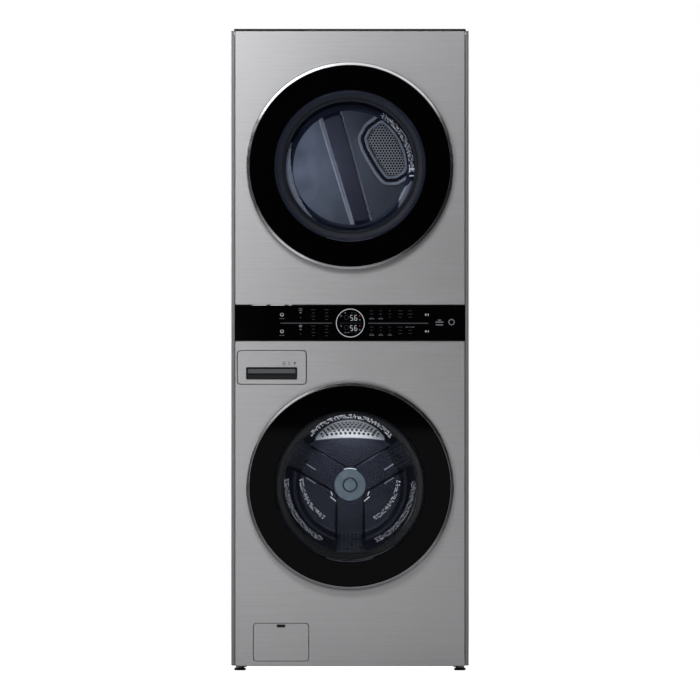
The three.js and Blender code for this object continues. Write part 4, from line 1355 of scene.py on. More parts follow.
def build_painted_glints():
    """Painted glints on the perforated steel between the lifters: bands of glinting dimples, pale dashes of
    painted highlight on the ribs, glint rods on the hub, and rods of shaded steel along the arms' edges and
    across the hub.
    """

    def on_back(x, z):
        return drum_back_depth(x, z) - 0.6

    def drum_bands(bm):
        for start, end in ((183, 240), (300, 357)):
            painted_glint_band(bm, (start, end), (138, 151), lambda x, z: on_back(x, z + 26), WASHER + 26)
        for start, end in ((177, 246), (294, 363)):
            painted_glint_band(bm, (start, end), (182, 196), lambda x, z: on_back(x, z + 8), WASHER + 8)
    piece("drum_painted_glint_bands", drum_bands, [PAINTED_GLINT_STEEL, DARK_STEEL], "washer_drum")

    # Painted glints on the door itself, across the top of the window.
    def door_band(bm):
        painted_glint_band(bm, (37, 143), (144, 156), lambda x, z: GLASS_FRONT + 4.7, WASHER + 56, rise=0.5)
    piece("door_painted_glint_band", door_band, [PAINTED_GLINT_STEEL, DARK_STEEL], "washer_door")

    # Pale dashes of painted highlight along the ribs of the drum's back.
    def rib_dashes(bm):
        for side in (-1, 1):
            for start, end in (((134, 65), (102, 45)), ((130, 22), (102, 4))):
                line_on_back(bm, straight(start, end, 8, side), 0.4, 2.3)
    piece("drum_rib_dashes", rib_dashes, HIGHLIGHT_STEEL, "washer_drum")

    def edges(bm):
        for side in (-1, 1):
            line_on_back(bm, straight((108, 110), (30, 57), 20, side), 0.2, 0.9)
    piece("drum_arm_edges", edges, DARK_STEEL, "washer_drum")

    def hub_glints(bm):
        front = drum_back_depth(0, 0) + 1.6
        rod(bm, [(x, front, WASHER + z) for x, z in arc(49.5, 68, 112, 16)], 1.5, 8)
        for side in (-1, 1):
            for start, end in (((57, -19), (52.5, -31)), ((58, -35), (41, -49))):
                line_on_back(bm, straight(start, end, 4, side), 0.6, 1.4)
    piece("drum_hub_glints", hub_glints, PAINTED_GLINT_STEEL, "washer_drum")

    def hub_line(bm):
        line_on_back(bm, [(x, -31 + 0.003 * x ** 2) for x in (-45 + 4.5 * k for k in range(21))], 0.1, 0.9)
    piece("drum_hub_line", hub_line, DARK_STEEL, "washer_drum")


def smoothstep(t):
    t = max(0.0, min(1.0, t))
    return t * t * (3 - 2 * t)


def relief(bm, radii, around, depth, z0, finish=None):
    """A round sheet of rings of points; functions give each place's depth and its finish (slot number)."""
    rings = []
    for r in radii:
        if r == 0:
            rings.append([bm.verts.new(Vector((0, depth(0, 0), z0)) * MM)] * around)
            continue
        ring = []
        for k in range(around):
            a = 2 * math.pi * k / around
            x, z = r * math.cos(a), r * math.sin(a)
            ring.append(bm.verts.new(Vector((x, depth(x, z), z0 + z)) * MM))
        rings.append(ring)
    for ring, other in zip(rings, rings[1:]):
        for i in range(around):
            j = (i + 1) % around
            corners = list(dict.fromkeys((ring[i], other[i], other[j], ring[j])))
            face = bm.faces.new(corners)
            face.smooth = True
            if finish:
                place = face.calc_center_median() / MM
                face.material_index = finish(place.x, place.z - z0)


def stud(bm, place, outwards, radius, rise, sides=10):
    """A low round dome on a surface."""
    outwards = outwards.normalized()
    across = outwards.orthogonal().normalized()
    over = outwards.cross(across)
    rings = []
    for share, height in ((1.0, -0.3), (0.92, 0.45), (0.6, 0.88)):
        rings.append(ring_of(bm, place + outwards * rise * height, across, over, radius * share, sides))
    rings.append([bm.verts.new((place + outwards * rise) * MM)] * sides)
    skin(bm, rings)
    cap(bm, rings[0])


def punched(bm, place, normal, radius, sides=12):
    """A drain hole: a cup in painted shade with a rolled rim, sunk in a surface."""
    normal = normal.normalized()
    across = normal.orthogonal().normalized()
    over = normal.cross(across)
    rings = []
    for share, height in ((1.28, 0.05), (1.12, 0.5), (1.0, 0.4), (0.9, 0.12)):
        rings.append(ring_of(bm, place + normal * height, across, over, radius * share, sides))
    rim_faces = 2 * sides
    dark = skin(bm, rings)[rim_faces:] + [bm.faces.new(rings[-1])]
    for face in dark:
        face.material_index = 1


def build_drum_back_holes():
    """Rows of drain holes in the two lower sectors between the arms."""
    pitch = 14.4

    def shape(bm):
        for sector in (210, 330):
            a = math.radians(sector)
            outwards, sideways = Vector((math.cos(a), math.sin(a))), Vector((math.sin(a), -math.cos(a)))
            for row in range(8):
                along = 146 + row * pitch * math.sin(math.pi / 3)
                for column in range(-12, 13):
                    across = (column + (row % 2) / 2) * pitch
                    distance = math.hypot(along, across)
                    if not 146 < distance < 226 or abs(across) > 0.86 * along - 22:
                        continue
                    flat = outwards * along + sideways * across
                    depth = drum_back_depth(flat.x, flat.y)
                    inward = Vector((-flat.x, 0, -flat.y)).normalized()
                    normal = Vector((0, -1, 0)) + (inward * CONE_SLOPE if distance > FLAT_R else Vector())
                    punched(bm, Vector((flat.x, depth - 0.1, WASHER + flat.y)), normal, 3.5)

    piece("drum_back_drain_holes", shape, [DARK_STEEL, SHADOW], "washer_drum")


def build_washer_drum():
    wall = piece("drum_wall", lambda bm: perforated_wall(
        bm, DRUM_R - 0.6, (DRUM_FRONT + 6, CONE_START - 1), 13.6, 3.3, WASHER),
        DRUM_STEEL, "washer_drum", replaces="washer_drum")
    thicken(wall, 1.0)

    front = [
        (198.5, DRUM_FRONT, 1), (263, DRUM_FRONT, 5), (DRUM_R, DRUM_FRONT + 6, 2), (DRUM_R, DRUM_FRONT + 12),
        (DRUM_R - 1.2, DRUM_FRONT + 12), (DRUM_R - 1.2, DRUM_FRONT + 7, 3), (262, DRUM_FRONT + 1.2, 3),
        (199, DRUM_FRONT + 1.2, 0.8), (197.4, DRUM_FRONT + 5.5, 0.4), (196, DRUM_FRONT + 5.5, 0.4),
        (196, DRUM_FRONT + 1.5, 1.2),
    ]
    turned_piece("drum_mouth", front, WASHER, DRUM_STEEL, "washer_drum", "stainless", sides=160)

    radii = [0] + [2 + 2 * k for k in range(72)] + list(range(150, 268, 6)) + [DRUM_R - 1]
    back = piece("drum_back", lambda bm: relief(bm, radii, 240, drum_back_depth, WASHER, drum_back_finish),
                 [DEEP_SHADE_STEEL, HUB_METAL], "washer_drum")
    thicken(back, 1.0, offset=-1)
    build_drum_back_holes()
    build_crescent()
    build_painted_glints()
    for index, angle in enumerate(ARM_ANGLES):
        build_lifter(index + 1, {270: 0, 30: 120, 150: 240}[angle])


LIFTER_CREST = ((-240, 262), (-222, 224), (-130, 215), (40, 206), (120, 174), (172, 144), (181, 142))


def between(table, at):
    """A value read from a short table of (place, value) pairs, with straight lines between them."""
    for (x0, y0), (x1, y1) in zip(table, table[1:]):
        if at <= x1:
            return y0 + (y1 - y0) * (at - x0) / (x1 - x0)
    return table[-1][1]


def build_lifter(index, turn):
    """A hollow-looking paddle on the drum's wall, with rows of studs along its crest."""
    places = [-240, -236, -231, -226, -220, -212] + list(range(-200, 181, 12)) + [181]

    def wall_at(y):
        return DRUM_R - 2.2 - max(0.0, y - CONE_START + 4) / CONE_SLOPE

    def width_at(r):
        return 36 + (r - 130) * 0.16

    def shape(bm):
        rings = []
        for y in places:
            crest, wall = between(LIFTER_CREST, y), wall_at(y) - 0.4
            crest = min(crest, wall - 3)
            base, top = min(width_at(wall), 56), width_at(crest) - 6
            foot = math.sqrt(max(0, wall * wall - base * base))
            section = soft([
                (-base, foot), (-top, crest, 9), (0, crest - 1.5, 30), (top, crest, 9), (base, foot),
                (0, wall - 1.5),
            ], steps=5)
            rings.append([bm.verts.new(Vector((u, y, WASHER - v)) * MM) for u, v in section])
        skin(bm, rings)
        cap(bm, rings[0])
        cap(bm, rings[-1])
        turned_copy(bm, 0, -turn, 0, WASHER)

    def studs(bm):
        for y in range(-204, 60, 16):
            crest = between(LIFTER_CREST, y)
            for across in (-20, 0, 20):
                sag = 1.5 * (1 - abs(across) / 30) if across else 1.4
                stud(bm, Vector((across, y, WASHER - crest + sag)), Vector((0, 0, 1)), 3.0, 1.6)
        for y in range(52, 178, 12):
            crest = between(LIFTER_CREST, y)
            for across in (-24, -12, 0, 12, 24):
                stud(bm, Vector((across, y, WASHER - crest + 1.2)), Vector((0, -0.6, 1)), 2.4, 1.6)
        for height in range(10, 60, 11):
            for across in (-28, -14, 0, 14, 28):
                stud(bm, Vector((across, -234, WASHER - 222 - 0.6 * height)), Vector((0, -1, 0.4)), 2.2, 1.0)
        turned_copy(bm, 0, -turn, 0, WASHER)

    piece(f"lifter_{index}", shape, LIFTER_DARK, "washer_drum",
          replaces=f"washer_lifter_{index}")
    piece(f"lifter_studs_{index}", studs, GREY, "washer_drum")


def build_tub():
    low, high = span("washer_tub_front")
    inside, tub_r, flange = 295, 300, high.x
    split = high.y
    front = [
        (208, low.y, 0.6), (212, low.y, 0.6), (212, -275, 2), (tub_r - 6, -275, 10), (tub_r, -264, 6),
        (tub_r, split - 8, 2), (flange, split - 8, 1), (flange, split, 0.5), (inside, split, 0.5),
        (inside, -270, 8), (208, -270, 1),
    ]
    turned_piece("tub_front_shell", front, WASHER, TUB, "tub", "grey_plastic", "washer_tub_front")
    rear_low, rear_high = span("washer_tub_rear")
    back, start = 232, rear_low.y
    rear = [
        (inside, start, 0.5), (flange, start, 0.5), (flange, start + 8, 1), (tub_r, start + 8, 2),
        (tub_r, back, 8), (44, back, 3), (44, rear_high.y, 2), (14, rear_high.y, 1), (14, 216, 1),
        (40, 216, 1), (40, 227, 2), (inside, 227, 6),
    ]

    def shape(bm):
        lathe(bm, rear, 0, WASHER, 128)
        rib = ((48, 292), (back - 2, back + 4), (WASHER - 1.5, WASHER + 1.5))
        repeated(bm, lambda: slab(bm, *rib, 0.8), range(0, 360, 20), 0, WASHER)
        for side in (-1, 1):
            slab(bm, sorted((side * 250, side * 274)), (50, 70), (WASHER + 158, WASHER + 178), 2)
            first = len(bm.verts)
            slab(bm, (-10, 10), (50, 70), (WASHER - 312, WASHER - 297), 2)
            turned_copy(bm, first, -38 * side, 0, WASHER)
    piece("tub_rear_shell", shape, TUB, "tub", replaces="washer_tub_rear")

    def clips(bm):
        for k in range(20):
            angle = math.radians(9 + 18 * k)
            screw(bm, 304 * math.cos(angle), split - 8, WASHER + 304 * math.sin(angle), 3.6, 2, direction=-1)
    piece("tub_flange_screws", clips, BRIGHT, "tub")

    low, high = span("washer_counterweight")
    loop = arc(288, 24, 156, 60, v=WASHER) + arc(224, 156, 24, 60, v=WASHER)
    piece("front_counterweight", lambda bm: plate(bm, loop, (low.y, high.y), 4), CONCRETE, "tub",
          replaces="washer_counterweight")


def build_washer_drive():
    low, high = span("washer_spider_shaft")
    start = low.y

    def spider(bm):
        hub = [(0, start), (44, start, 2), (44, start + 18, 3), (20, start + 26, 4), (12, start + 26, 1),
               (12, high.y - 1, 1), (0, high.y - 1)]
        lathe(bm, hub, 0, WASHER, 64)
        loop = soft([(38, -21), (164, -12, 4), (164, 12, 4), (38, 21)], closed=True)

        def arm():
            plate(bm, [(u, WASHER + v) for u, v in loop], (start, start + 14), 2)
            slab(bm, (42, 150), (start + 13, start + 19), (WASHER - 3, WASHER + 3), 1.5)
        repeated(bm, arm, (-30, -150, -270), 0, WASHER)
    piece("drum_spider", spider, CAST, "washer_drum", replaces="washer_spider_shaft")

    low, high = span("motor_stator")
    core = (low.y + 5, high.y - 5)
    piece("stator_core", lambda bm: tube(bm, (46, 70), core, 0, WASHER), ZINC, "tub")

    def coils(bm):
        def coil():
            slab(bm, (71, 108), (low.y, high.y), (WASHER - 4.2, WASHER + 4.2), 2.4, 3)
            slab(bm, (108, 117.5), (low.y + 1.5, high.y - 1.5), (WASHER - 8.6, WASHER + 8.6), 1)
        repeated(bm, coil, range(0, 360, 10), 0, WASHER)
    piece("stator_coils", coils, COPPER, "tub", replaces="motor_stator")

    def rotor(bm):
        cup = [
            (12.4, 270), (30, 270, 1), (30, 264, 1), (123, 264, 3), (123, 236), (128, 236, 0.8),
            (128, 269, 4), (34, 269, 2), (34, 276, 1), (12.4, 276),
        ]
        lathe(bm, cup, 0, WASHER, 128)
        rib = ((50, 112), (268, 271.5), (WASHER - 3, WASHER + 3))
        repeated(bm, lambda: slab(bm, *rib, 1.2), range(0, 360, 30), 0, WASHER)
    piece("rotor_cup", rotor, ZINC, "washer_drum", replaces="motor_rotor")


def build_suspension():
    for side, sign in (("left", -1), ("right", 1)):
        low, high = span(f"suspension_spring_{side}")
        x, y = (low.x + high.x) / 2, (low.y + high.y) / 2
        turns, steps = 13, 22

        def coil(bm, x=x, y=y, low=low, high=high):
            radius, foot, rise = 9.4, low.z + 3, high.z - low.z - 6
            path = []
            for k in range(turns * steps + 1):
                share = k / (turns * steps)
                a = 2 * math.pi * turns * share
                path.append((x + radius * math.cos(a), y + radius * math.sin(a), foot + share * rise))
            rod(bm, path, 1.9, 8)
        spring = piece(f"{side}_spring", coil, BRIGHT,
                       replaces=f"suspension_spring_{side}", ride=False)
        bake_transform(spring)

        def strut(bm, sign=sign):
            foot_x, foot_y, foot_z = 248 * sign, 60, 45
            outline = [
                (0, foot_z), (6, foot_z, 2), (6, foot_z + 12), (17, foot_z + 18, 2), (17, foot_z + 118, 2),
                (9, foot_z + 122, 2), (6, foot_z + 123), (6, foot_z + 186, 2), (0, foot_z + 186),
            ]
            lathe(bm, outline, foot_x, y=foot_y, sides=40, axis="Z")
            turned_copy(bm, 0, -17 * sign, foot_x, foot_z)
        damper = piece(f"{side}_damper", strut, BLACK,
                       replaces=f"suspension_damper_{side}", ride=False)
        low, high = span(f"suspension_damper_{side}")
        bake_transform(damper)


# ---- Detergent drawer, drain filter and flap ----

def build_drawer():
    low, high = DRAWER_LOW, DRAWER_HIGH
    grip_x, grip_z = (-305.6, -155.5), (857, 893)
    floor = FACE + 16

    def shape(bm):
        outer = rectangle((low.x, high.x), (low.z, high.z), 10, 8)
        rim = soft([
            (-7, FACE), (0, FACE, 1.6), (0, high.y, 0.4), (-1.5, high.y, 0.4), (-1.5, FACE + 1.5, 1),
            (-7, FACE + 1.5),
        ])
        pocket = rectangle(grip_x, grip_z, 4, 6)
        into = soft([(2.5, FACE), (0, FACE, 0.9), (0, floor, 2), (-3.4, floor)])
        behind = soft([(5, FACE + 1.5), (1.5, FACE + 1.5, 0.8), (1.5, floor + 1.5, 2), (-3.4, floor + 1.5)])
        first, last = sweep(bm, outer, rim)
        hole_front, pocket_floor = sweep(bm, pocket, into)
        hole_back, pocket_back = sweep(bm, pocket, behind)
        cap(bm, first, hole_front)
        cap(bm, last, hole_back)
        cap(bm, pocket_floor)
        cap(bm, pocket_back)
    piece("drawer_face", shape, PANEL_STEEL, "detergent_drawer", replaces="drawer_front")

    def liner(bm):
        loop = rectangle(widened(grip_x, -0.6), widened(grip_z, -0.6), 3.6, 6)
        outside = soft([(0, FACE + 2.2), (0, floor - 0.2, 2), (-3, floor - 0.2)])
        inside = soft([(-1, FACE + 2.2), (-1, floor - 1.2, 2), (-3, floor - 1.2)])
        open_box(bm, loop, outside, loop, inside)
    piece("drawer_grip_liner", liner, BLACK, "detergent_drawer")

    def lip(bm):
        outline = soft([
            (FACE + 3.2, 888.4, 0.8), (FACE + 1.2, 875.4, 1), (FACE + 4, 874.6, 1), (FACE + 14.8, 884),
            (FACE + 14.8, 888.4),
        ], closed=True)
        plate(bm, outline, (grip_x[0] + 5, grip_x[1] - 5), 0.8, axis="X")
    piece("drawer_grip_bar", lip, GREY, "detergent_drawer")

    def icons(bm):
        z = 904.5
        for dz in (-4, 0, 4):
            bar(bm, -194.5, z + dz, 9.6, 1.5)
            bar(bm, -179, z + dz, 7.2, 1.2)
        flat_shape(bm, circle(3.0, -162.5, z + 1.6, 24))
        bar(bm, -162.5, z - 2.6, 1.6, 5)
    piece("drawer_icons", icons, PANEL_PRINT, "detergent_drawer")
    build_tray()


def build_tray():
    low, high = span("drawer_tray")
    divider = DRAWER_LOW.x + 118

    def shape(bm):
        outer = rectangle((low.x, high.x), (low.y, high.y), 4, 4)
        sections = soft([(-3, low.z), (0, low.z, 2), (0, high.z, 0.6), (-0.8, high.z)])
        first, rim = sweep(bm, outer, sections, "Z")
        floors = []
        tops = []
        spans = (
            ((low.x + 2.5, divider - 1), (low.y + 3, high.y - 2.5)),
            ((divider + 1, high.x - 2.5), (low.y + 3, -202)),
            ((divider + 1, high.x - 2.5), (-200, high.y - 2.5)),
        )
        for x, y in spans:
            loop = rectangle(x, y, 3.5, 5)
            into = soft([
                (0.1, high.z), (-0.3, high.z - 1, 0.4), (-0.3, low.z + 2.5, 3), (-5, low.z + 2.5),
            ])
            top, floor = sweep(bm, loop, into, "Z")
            tops.append(top)
            floors.append(floor)
        cap(bm, first)
        cap(bm, rim, *tops)
        for floor in floors:
            cap(bm, floor)
    piece("drawer_compartments", shape, WHITE, "detergent_drawer", replaces="drawer_tray")

    low, high = span("dispenser_housing")

    def housing(bm):
        loop = rectangle((low.x, high.x), (low.z, high.z), 4, 4)
        outside = soft([(-3, low.y), (0, low.y, 0.6), (0, high.y, 3), (-6, high.y)])
        inner = rectangle((low.x + 3, high.x - 3), (low.z + 3, high.z - 3), 3, 4)
        inside = soft([(0, low.y), (0, high.y - 3, 3), (-6, high.y - 3)])
        open_box(bm, loop, outside, inner, inside)
    piece("dispenser_box", housing, WHITE, replaces="dispenser_housing")


def build_drain():
    x, z = PUMP.x, PUMP.z
    notch = rectangle((x - 12.5, x + 12.5), (FLAP_TOP - 11.5, FLAP_TOP - 3.5), 3, 5)

    def flap(bm):
        loop = rectangle((-284, -122), (28, FLAP_TOP), 9, 8)
        plate(bm, loop, (FACE, FACE + 2), 0.9, holes=[notch])
        tube(bm, (0, 2.4), (-282, -124), sides=24, axis="X", radius=0.3, **FLAP_HINGE)
        tube(bm, (0, 1.4), (-288.6, -117.4), sides=20, axis="X", radius=0.3, **FLAP_HINGE)
        slab(bm, (-272, -134), (FACE + 1, FLAP_HINGE["y"]), (40.1, 43.1), 0.4)
    piece("filter_door", flap, PANEL_STEEL, "filter_flap", replaces="filter_flap")

    def cup(bm):
        loop = rectangle((x - 12.2, x + 12.2), (FLAP_TOP - 11.2, FLAP_TOP - 3.8), 2.8, 5)
        outside = soft([(0, FACE + 0.9), (0, FACE + 2.6, 0.3), (-2.5, FACE + 2.6)])
        inside = soft([(-0.8, FACE + 0.9), (-0.8, FACE + 1.9, 0.3), (-2.5, FACE + 1.9)])
        open_box(bm, loop, outside, loop, inside)
    piece("flap_finger_cup", cup, BLACK, "filter_flap")

    def volute(bm):
        outline = [
            (27, -322, 0.6), (31, -322, 0.8), (31, -290, 3), (37, -284, 2), (37, -236, 4), (24, -230, 3),
            (24, -196, 2), (0, -196), (0, -240), (27, -240, 1),
        ]
        lathe(bm, outline, x, z, 64)

        def spout(bore, start, bead, end):
            """A hose spout's outline, with a bead near its end."""
            wall = bore + 3
            bulge = [(wall, bead), (wall + 1.2, bead + 2)]
            return [(bore, start), (wall, start), *bulge, (wall, end), (bore, end)]
        lathe(bm, spout(9, x + 28, x + 90, x + 96), y=-256, z=z, sides=32, axis="X", radius=0.4)
        lathe(bm, spout(13, z + 32, z + 82, z + 88), x, y=-262, sides=32, axis="Z", radius=0.4)
    piece("pump_body", volute, BLACK, replaces="drain_pump")

    def filter_cap(bm):
        outline = [
            (0, -330), (28.5, -330, 1.5), (30, -328, 0.8), (30, -323.4, 0.6), (26, -323.4, 0.3),
            (26, -246, 0.6), (23, -246, 0.6), (23, -319, 0.8), (0, -319),
        ]
        lathe(bm, outline, x, z, 64)
        slab(bm, (x - 24, x + 24), (-339, -329), (z - 3.5, z + 3.5), 1.4, 3)
        ridge = ((x + 28.6, x + 30), (-329.4, -324), (z - 1.2, z + 1.2))
        repeated(bm, lambda: slab(bm, *ridge, 0.4), range(0, 360, 15), x, z)
    piece("filter_cap", filter_cap, GREY, "pump_filter", replaces="pump_filter")


def build_latch_surrounds():
    """The black frame around each latch slot."""
    for prefix, axis in (("washer", WASHER), ("dryer", DRYER)):
        def surround(bm, z=axis):
            hole = centred(LATCH_X + 2, z, 22.8, 22.8, 2)
            plate(bm, centred(LATCH_X + 2, z, 31, 31, 4), (FACE - 1.0, FACE + 0.3), 0.5, holes=[hole])
        piece(f"{prefix}_latch_surround", surround, BLACK)


# ---- Dryer inside ----

REAR_WALL = span("dryer_rear_bulkhead")[0].y  # front of the raised disc
RIB_LEFT = ((-93, 143), (-5, -147))  # the slanted rib's two edges on the rear wall, from the axis
RIB_RIGHT = ((-25, 171), (60, -139))
VENT = ((94, 136), (62, 112), (48, 87), (56, 60), (76, 24), (94, -5), (111, -27), (135, -26), (159, -11))


def vent_outline():
    """The vent's edge on the rear wall: a curved inner side, and an arc along the disc's edge."""
    start, end = (math.degrees(math.atan2(z, x)) for x, z in (VENT[-1], VENT[0]))
    rim = arc(math.hypot(*VENT[0]), start, end, 12)[1:-1]
    return soft([(*point, 9) for point in VENT] + [(*point, 0) for point in rim], closed=True)


def outside_distance(x, z, loop):
    """How far a point is outside a closed outline; less than nothing inside it."""
    nearest = 1e9
    inside = False
    for i, (x0, z0) in enumerate(loop):
        x1, z1 = loop[(i + 1) % len(loop)]
        dx, dz = x1 - x0, z1 - z0
        t = max(0.0, min(1.0, ((x - x0) * dx + (z - z0) * dz) / (dx * dx + dz * dz + 1e-9)))
        nearest = min(nearest, math.hypot(x - x0 - t * dx, z - z0 - t * dz))
        if (z0 > z) != (z1 > z) and x < x0 + (z - z0) * dx / dz:
            inside = not inside
    return -nearest if inside else nearest


def right_of(x, z, line):
    """How far a point is to the right of a line from its top to its foot."""
    (x0, z0), (x1, z1) = line
    length = math.hypot(x1 - x0, z1 - z0)
    return ((z0 - z1) * (x - x0) + (x1 - x0) * (z - z0)) / length


VENT_LOOP = vent_outline()


def rear_wall_depth(x, z):
    """Depth of the dryer's rear wall: a flat disc with a slanted rib, the vent and the ridge around it."""
    distance = math.hypot(x, z)
    depth = REAR_WALL
    if distance > 182:
        return depth + 26 * smoothstep((distance - 182) / 24)
    fade = smoothstep((172 - distance) / 14)
    rib = smoothstep(right_of(x, z, RIB_LEFT) / 14) * smoothstep(-right_of(x, z, RIB_RIGHT) / 6) * 6 * fade
    rim = 3 * smoothstep(1 - abs(distance - 176) / 5)
    out = outside_distance(x, z, VENT_LOOP) if x > 10 and z > -70 else 100.0
    rim *= smoothstep((out - 3) / 6)
    ridge = 4.5 * smoothstep(1 - abs(out - 22) / 6) * smoothstep((176 - distance) / 6)
    lip = 3.5 * smoothstep(1 - abs(out - 2.5) / 3.5)
    pit = 8 * smoothstep(-out / 2)
    return depth - max(rib, rim, ridge, lip) + pit


def rear_wall_finish(x, z):
    """Slate in the middle; painted highlights in pale steel on two stretches of the rim, the rib's edges and
    the vent's lip and ridge; a darker slanted rib; painted shade in the vent's groove and deep painted shade
    outside.
    """
    distance = math.hypot(x, z)
    angle = math.degrees(math.atan2(z, x)) % 360
    if distance > 170:
        # Two stretches of the rim in painted highlight; the rest out here is painted shade.
        for middle_angle, half, start in (197, 42, 172), (334, 15, 170):
            taper = ((angle - middle_angle) / half) ** 2
            if taper < 1 and start + (190 - start) * taper < distance < 190:
                return 1
        return 3
    if x > 10 and z > -70:
        out = outside_distance(x, z, VENT_LOOP)
        # Painted highlights on the vent's lip and ridge, painted shade in the groove between them.
        if -1.5 < out < 5.5 or 17 < out < 25:
            return 1
        if 5.5 <= out <= 17:
            return 4
    left, right = right_of(x, z, RIB_LEFT), right_of(x, z, RIB_RIGHT)
    # Painted highlights along the rib's two edges.
    if 0 < left < 12 or -5 < right < 0:
        return 1
    if left > 0 > right:
        return 2
    return 0


def build_rear_wall():
    radii = [0] + [1.9 + 1.9 * k for k in range(95)]
    radii += [182.5, 186, 190, 194, 198, 202, 206, 214, 230, 250, 276]

    def shape(bm):
        relief(bm, radii, 360, rear_wall_depth, DRYER, rear_wall_finish)
    finishes = [SLATE, HIGHLIGHT_STEEL, PURPLE_STEEL, SHADE_NAVY_STEEL, DEEP_SHADE_STEEL]
    wall = piece("dryer_rear_wall", shape, finishes, replaces="dryer_rear_bulkhead")
    thicken(wall, 1.0, offset=-1)

    def grille(bm):
        pitch, depth = 8.7, REAR_WALL + 3.5
        for row in range(-6, 24):
            for column in range(0, 22):
                x = 30 + pitch * (column + (row % 2) / 2)
                z = -10 + pitch * math.sin(math.pi / 3) * row
                if outside_distance(x, z, VENT_LOOP) > -3.4:
                    continue
                outer = circle(pitch / math.sqrt(3) + 0.02, x, DRYER + z, 6, math.pi / 6)
                inner = circle(3.5, x, DRYER + z, 6, math.pi / 6)
                levels = ((outer, depth), (inner, depth), (inner, depth + 1.2), (outer, depth + 1.2))
                rings = [[bm.verts.new(placed(u, v, at)) for u, v in loop] for loop, at in levels]
                for face in skin(bm, rings, closed=True):
                    face.smooth = False
    piece("dryer_vent_grille", grille, GRILLE)

    def shade(bm):
        loop = [(x, DRYER + z) for x, z in outside_loop(VENT_LOOP, -1.5)]
        plate(bm, loop, (REAR_WALL + 6.2, REAR_WALL + 7.4), 0.3)
    piece("dryer_vent_shade", shade, SHADOW)

    # Painted glints along the right of the dryer wall's rim: glinting dimples and two glowing rods.
    def sparkle(bm):
        painted_glint_band(bm, (-4, 60), (175, 190), lambda x, z: rear_wall_depth(x, z) - 0.6, DRYER)
        for z in (-5, -25):
            path = [(177 + 2 * k, REAR_WALL - 3.5, DRYER + z + 1.2 * math.sin(k / 2.5)) for k in range(9)]
            rod(bm, path, 1.9, 8)
    piece("dryer_rim_painted_glints", sparkle, [PAINTED_GLINT_STEEL, DARK_STEEL])

    low, high = span("dryer_rear_bulkhead")

    def bulkhead(bm):
        outer = rectangle((low.x, high.x), (low.z, high.z), 8)
        plate(bm, outer, (256, 257.2), 0.4, holes=[circle(275, 0, DRYER, 128)])
        duct = rectangle((-30, 170), (DRYER - 240, DRYER + 150), 30, 8)
        outside = soft([(0, 257), (0, high.y, 6), (-12, high.y)])
        inside = soft([(-1, 257), (-1, high.y - 1, 5), (-12, high.y - 1)])
        open_box(bm, duct, outside, duct, inside)
    piece("dryer_rear_plate", bulkhead, ZINC)


def outside_loop(loop, distance):
    area = sum(a[0] * b[1] - b[0] * a[1] for a, b in zip(loop, loop[1:] + loop[:1]))
    return outward(loop if area > 0 else loop[::-1], distance)


def build_dryer_drum():
    low, high = span("dryer_drum")
    radius, front, back = high.x, low.y, high.y
    outline = [
        (225, front, 0.5), (radius - 1, front, 4), (radius, front + 30, 3), (radius - 2.5, front + 36, 3),
        (radius - 2.5, front + 42, 3), (radius, front + 48, 3), (radius, 120, 3), (radius - 2.5, 126, 3),
        (radius - 2.5, 132, 3), (radius, 138, 3), (radius, back, 0.4), (radius - 1, back, 0.4),
        (radius - 1, 138.4, 3), (radius - 3.5, 132.4, 3), (radius - 3.5, 125.6, 3), (radius - 1, 119.6, 3),
        (radius - 1, front + 48.4, 3), (radius - 3.5, front + 42.4, 3), (radius - 3.5, front + 35.6, 3),
        (radius - 1, front + 29.6, 3), (radius - 2, front + 1, 3), (225, front + 1, 0.4),
    ]
    turned_piece("dryer_drum_shell", outline, DRYER, DRUM_STEEL, "dryer_drum", "stainless", "dryer_drum", 192)
    rises = (
        (-226, 0.15), (-222, 0.6), (-214, 0.9), (-200, 1.0), (172, 1.0), (186, 0.9), (195, 0.6), (200, 0.15),
    )

    def fins(bm):
        def fin():
            rings = []
            for y, rise in rises:
                crest, half = 280 - 47 * rise, 9 + 6 * (1 - rise)
                section = soft([
                    (-34, 280.5), (-22, 272, 10), (-half, crest, 8), (half, crest, 8), (22, 272, 10),
                    (34, 280.5),
                ])
                section += [(20, 282), (-20, 282)]
                rings.append([bm.verts.new(Vector((u, y, DRYER - v)) * MM) for u, v in section])
            skin(bm, rings)
            cap(bm, rings[0])
            cap(bm, rings[-1])
        repeated(bm, fin, (0, 120, 240), 0, DRYER)
    piece("dryer_drum_fins", fins, GREY, "dryer_drum")


def build_front_bulkhead():
    """The plate in front of the drum, with a collar that leaves room for the lint filter to slide up."""
    low, high = span("dryer_front_bulkhead")
    slot_half = 83

    def shape(bm):
        outer = rectangle((low.x, high.x), (low.z, high.z), 8)
        slot = rectangle((-slot_half, slot_half), (DRYER - 259, DRYER - 219), 3)
        plate(bm, outer, (-269, -268), 0.4, holes=[circle(216, 0, DRYER, 160), slot])
        inside, outside = 214.8, 216.6
        for front, back in ((-327.4, -306), (-282, -268.6)):
            outline = [(inside, front, 0.5), (outside, front, 0.5), (outside, back), (inside, back)]
            lathe(bm, outline, 0, DRYER, 160)
        gap = math.degrees(math.asin(slot_half / inside))
        start, end = gap - 90, 270 - gap
        loop = arc(outside, start, end, 140, v=DRYER) + arc(inside, end, start, 140, v=DRYER)
        plate(bm, loop, (-306, -282), 0.1)
        for x in (-181, 181):
            lathe(bm, [(0, -268.5), (6, -268.5), (6, -214, 1), (0, -214)], x, DRYER - 258.5, 24)
    piece("dryer_front_plate", shape, ZINC, replaces="dryer_front_bulkhead")

    felt = [(217.5, -267.6), (224, -267.6), (224, -257, 2), (217.5, -257, 2)]
    material = rubber("felt seal", srgb(176, 172, 160), 0.95)
    piece("drum_felt_ring", lambda bm: lathe(bm, felt, 0, DRYER, 128), material)


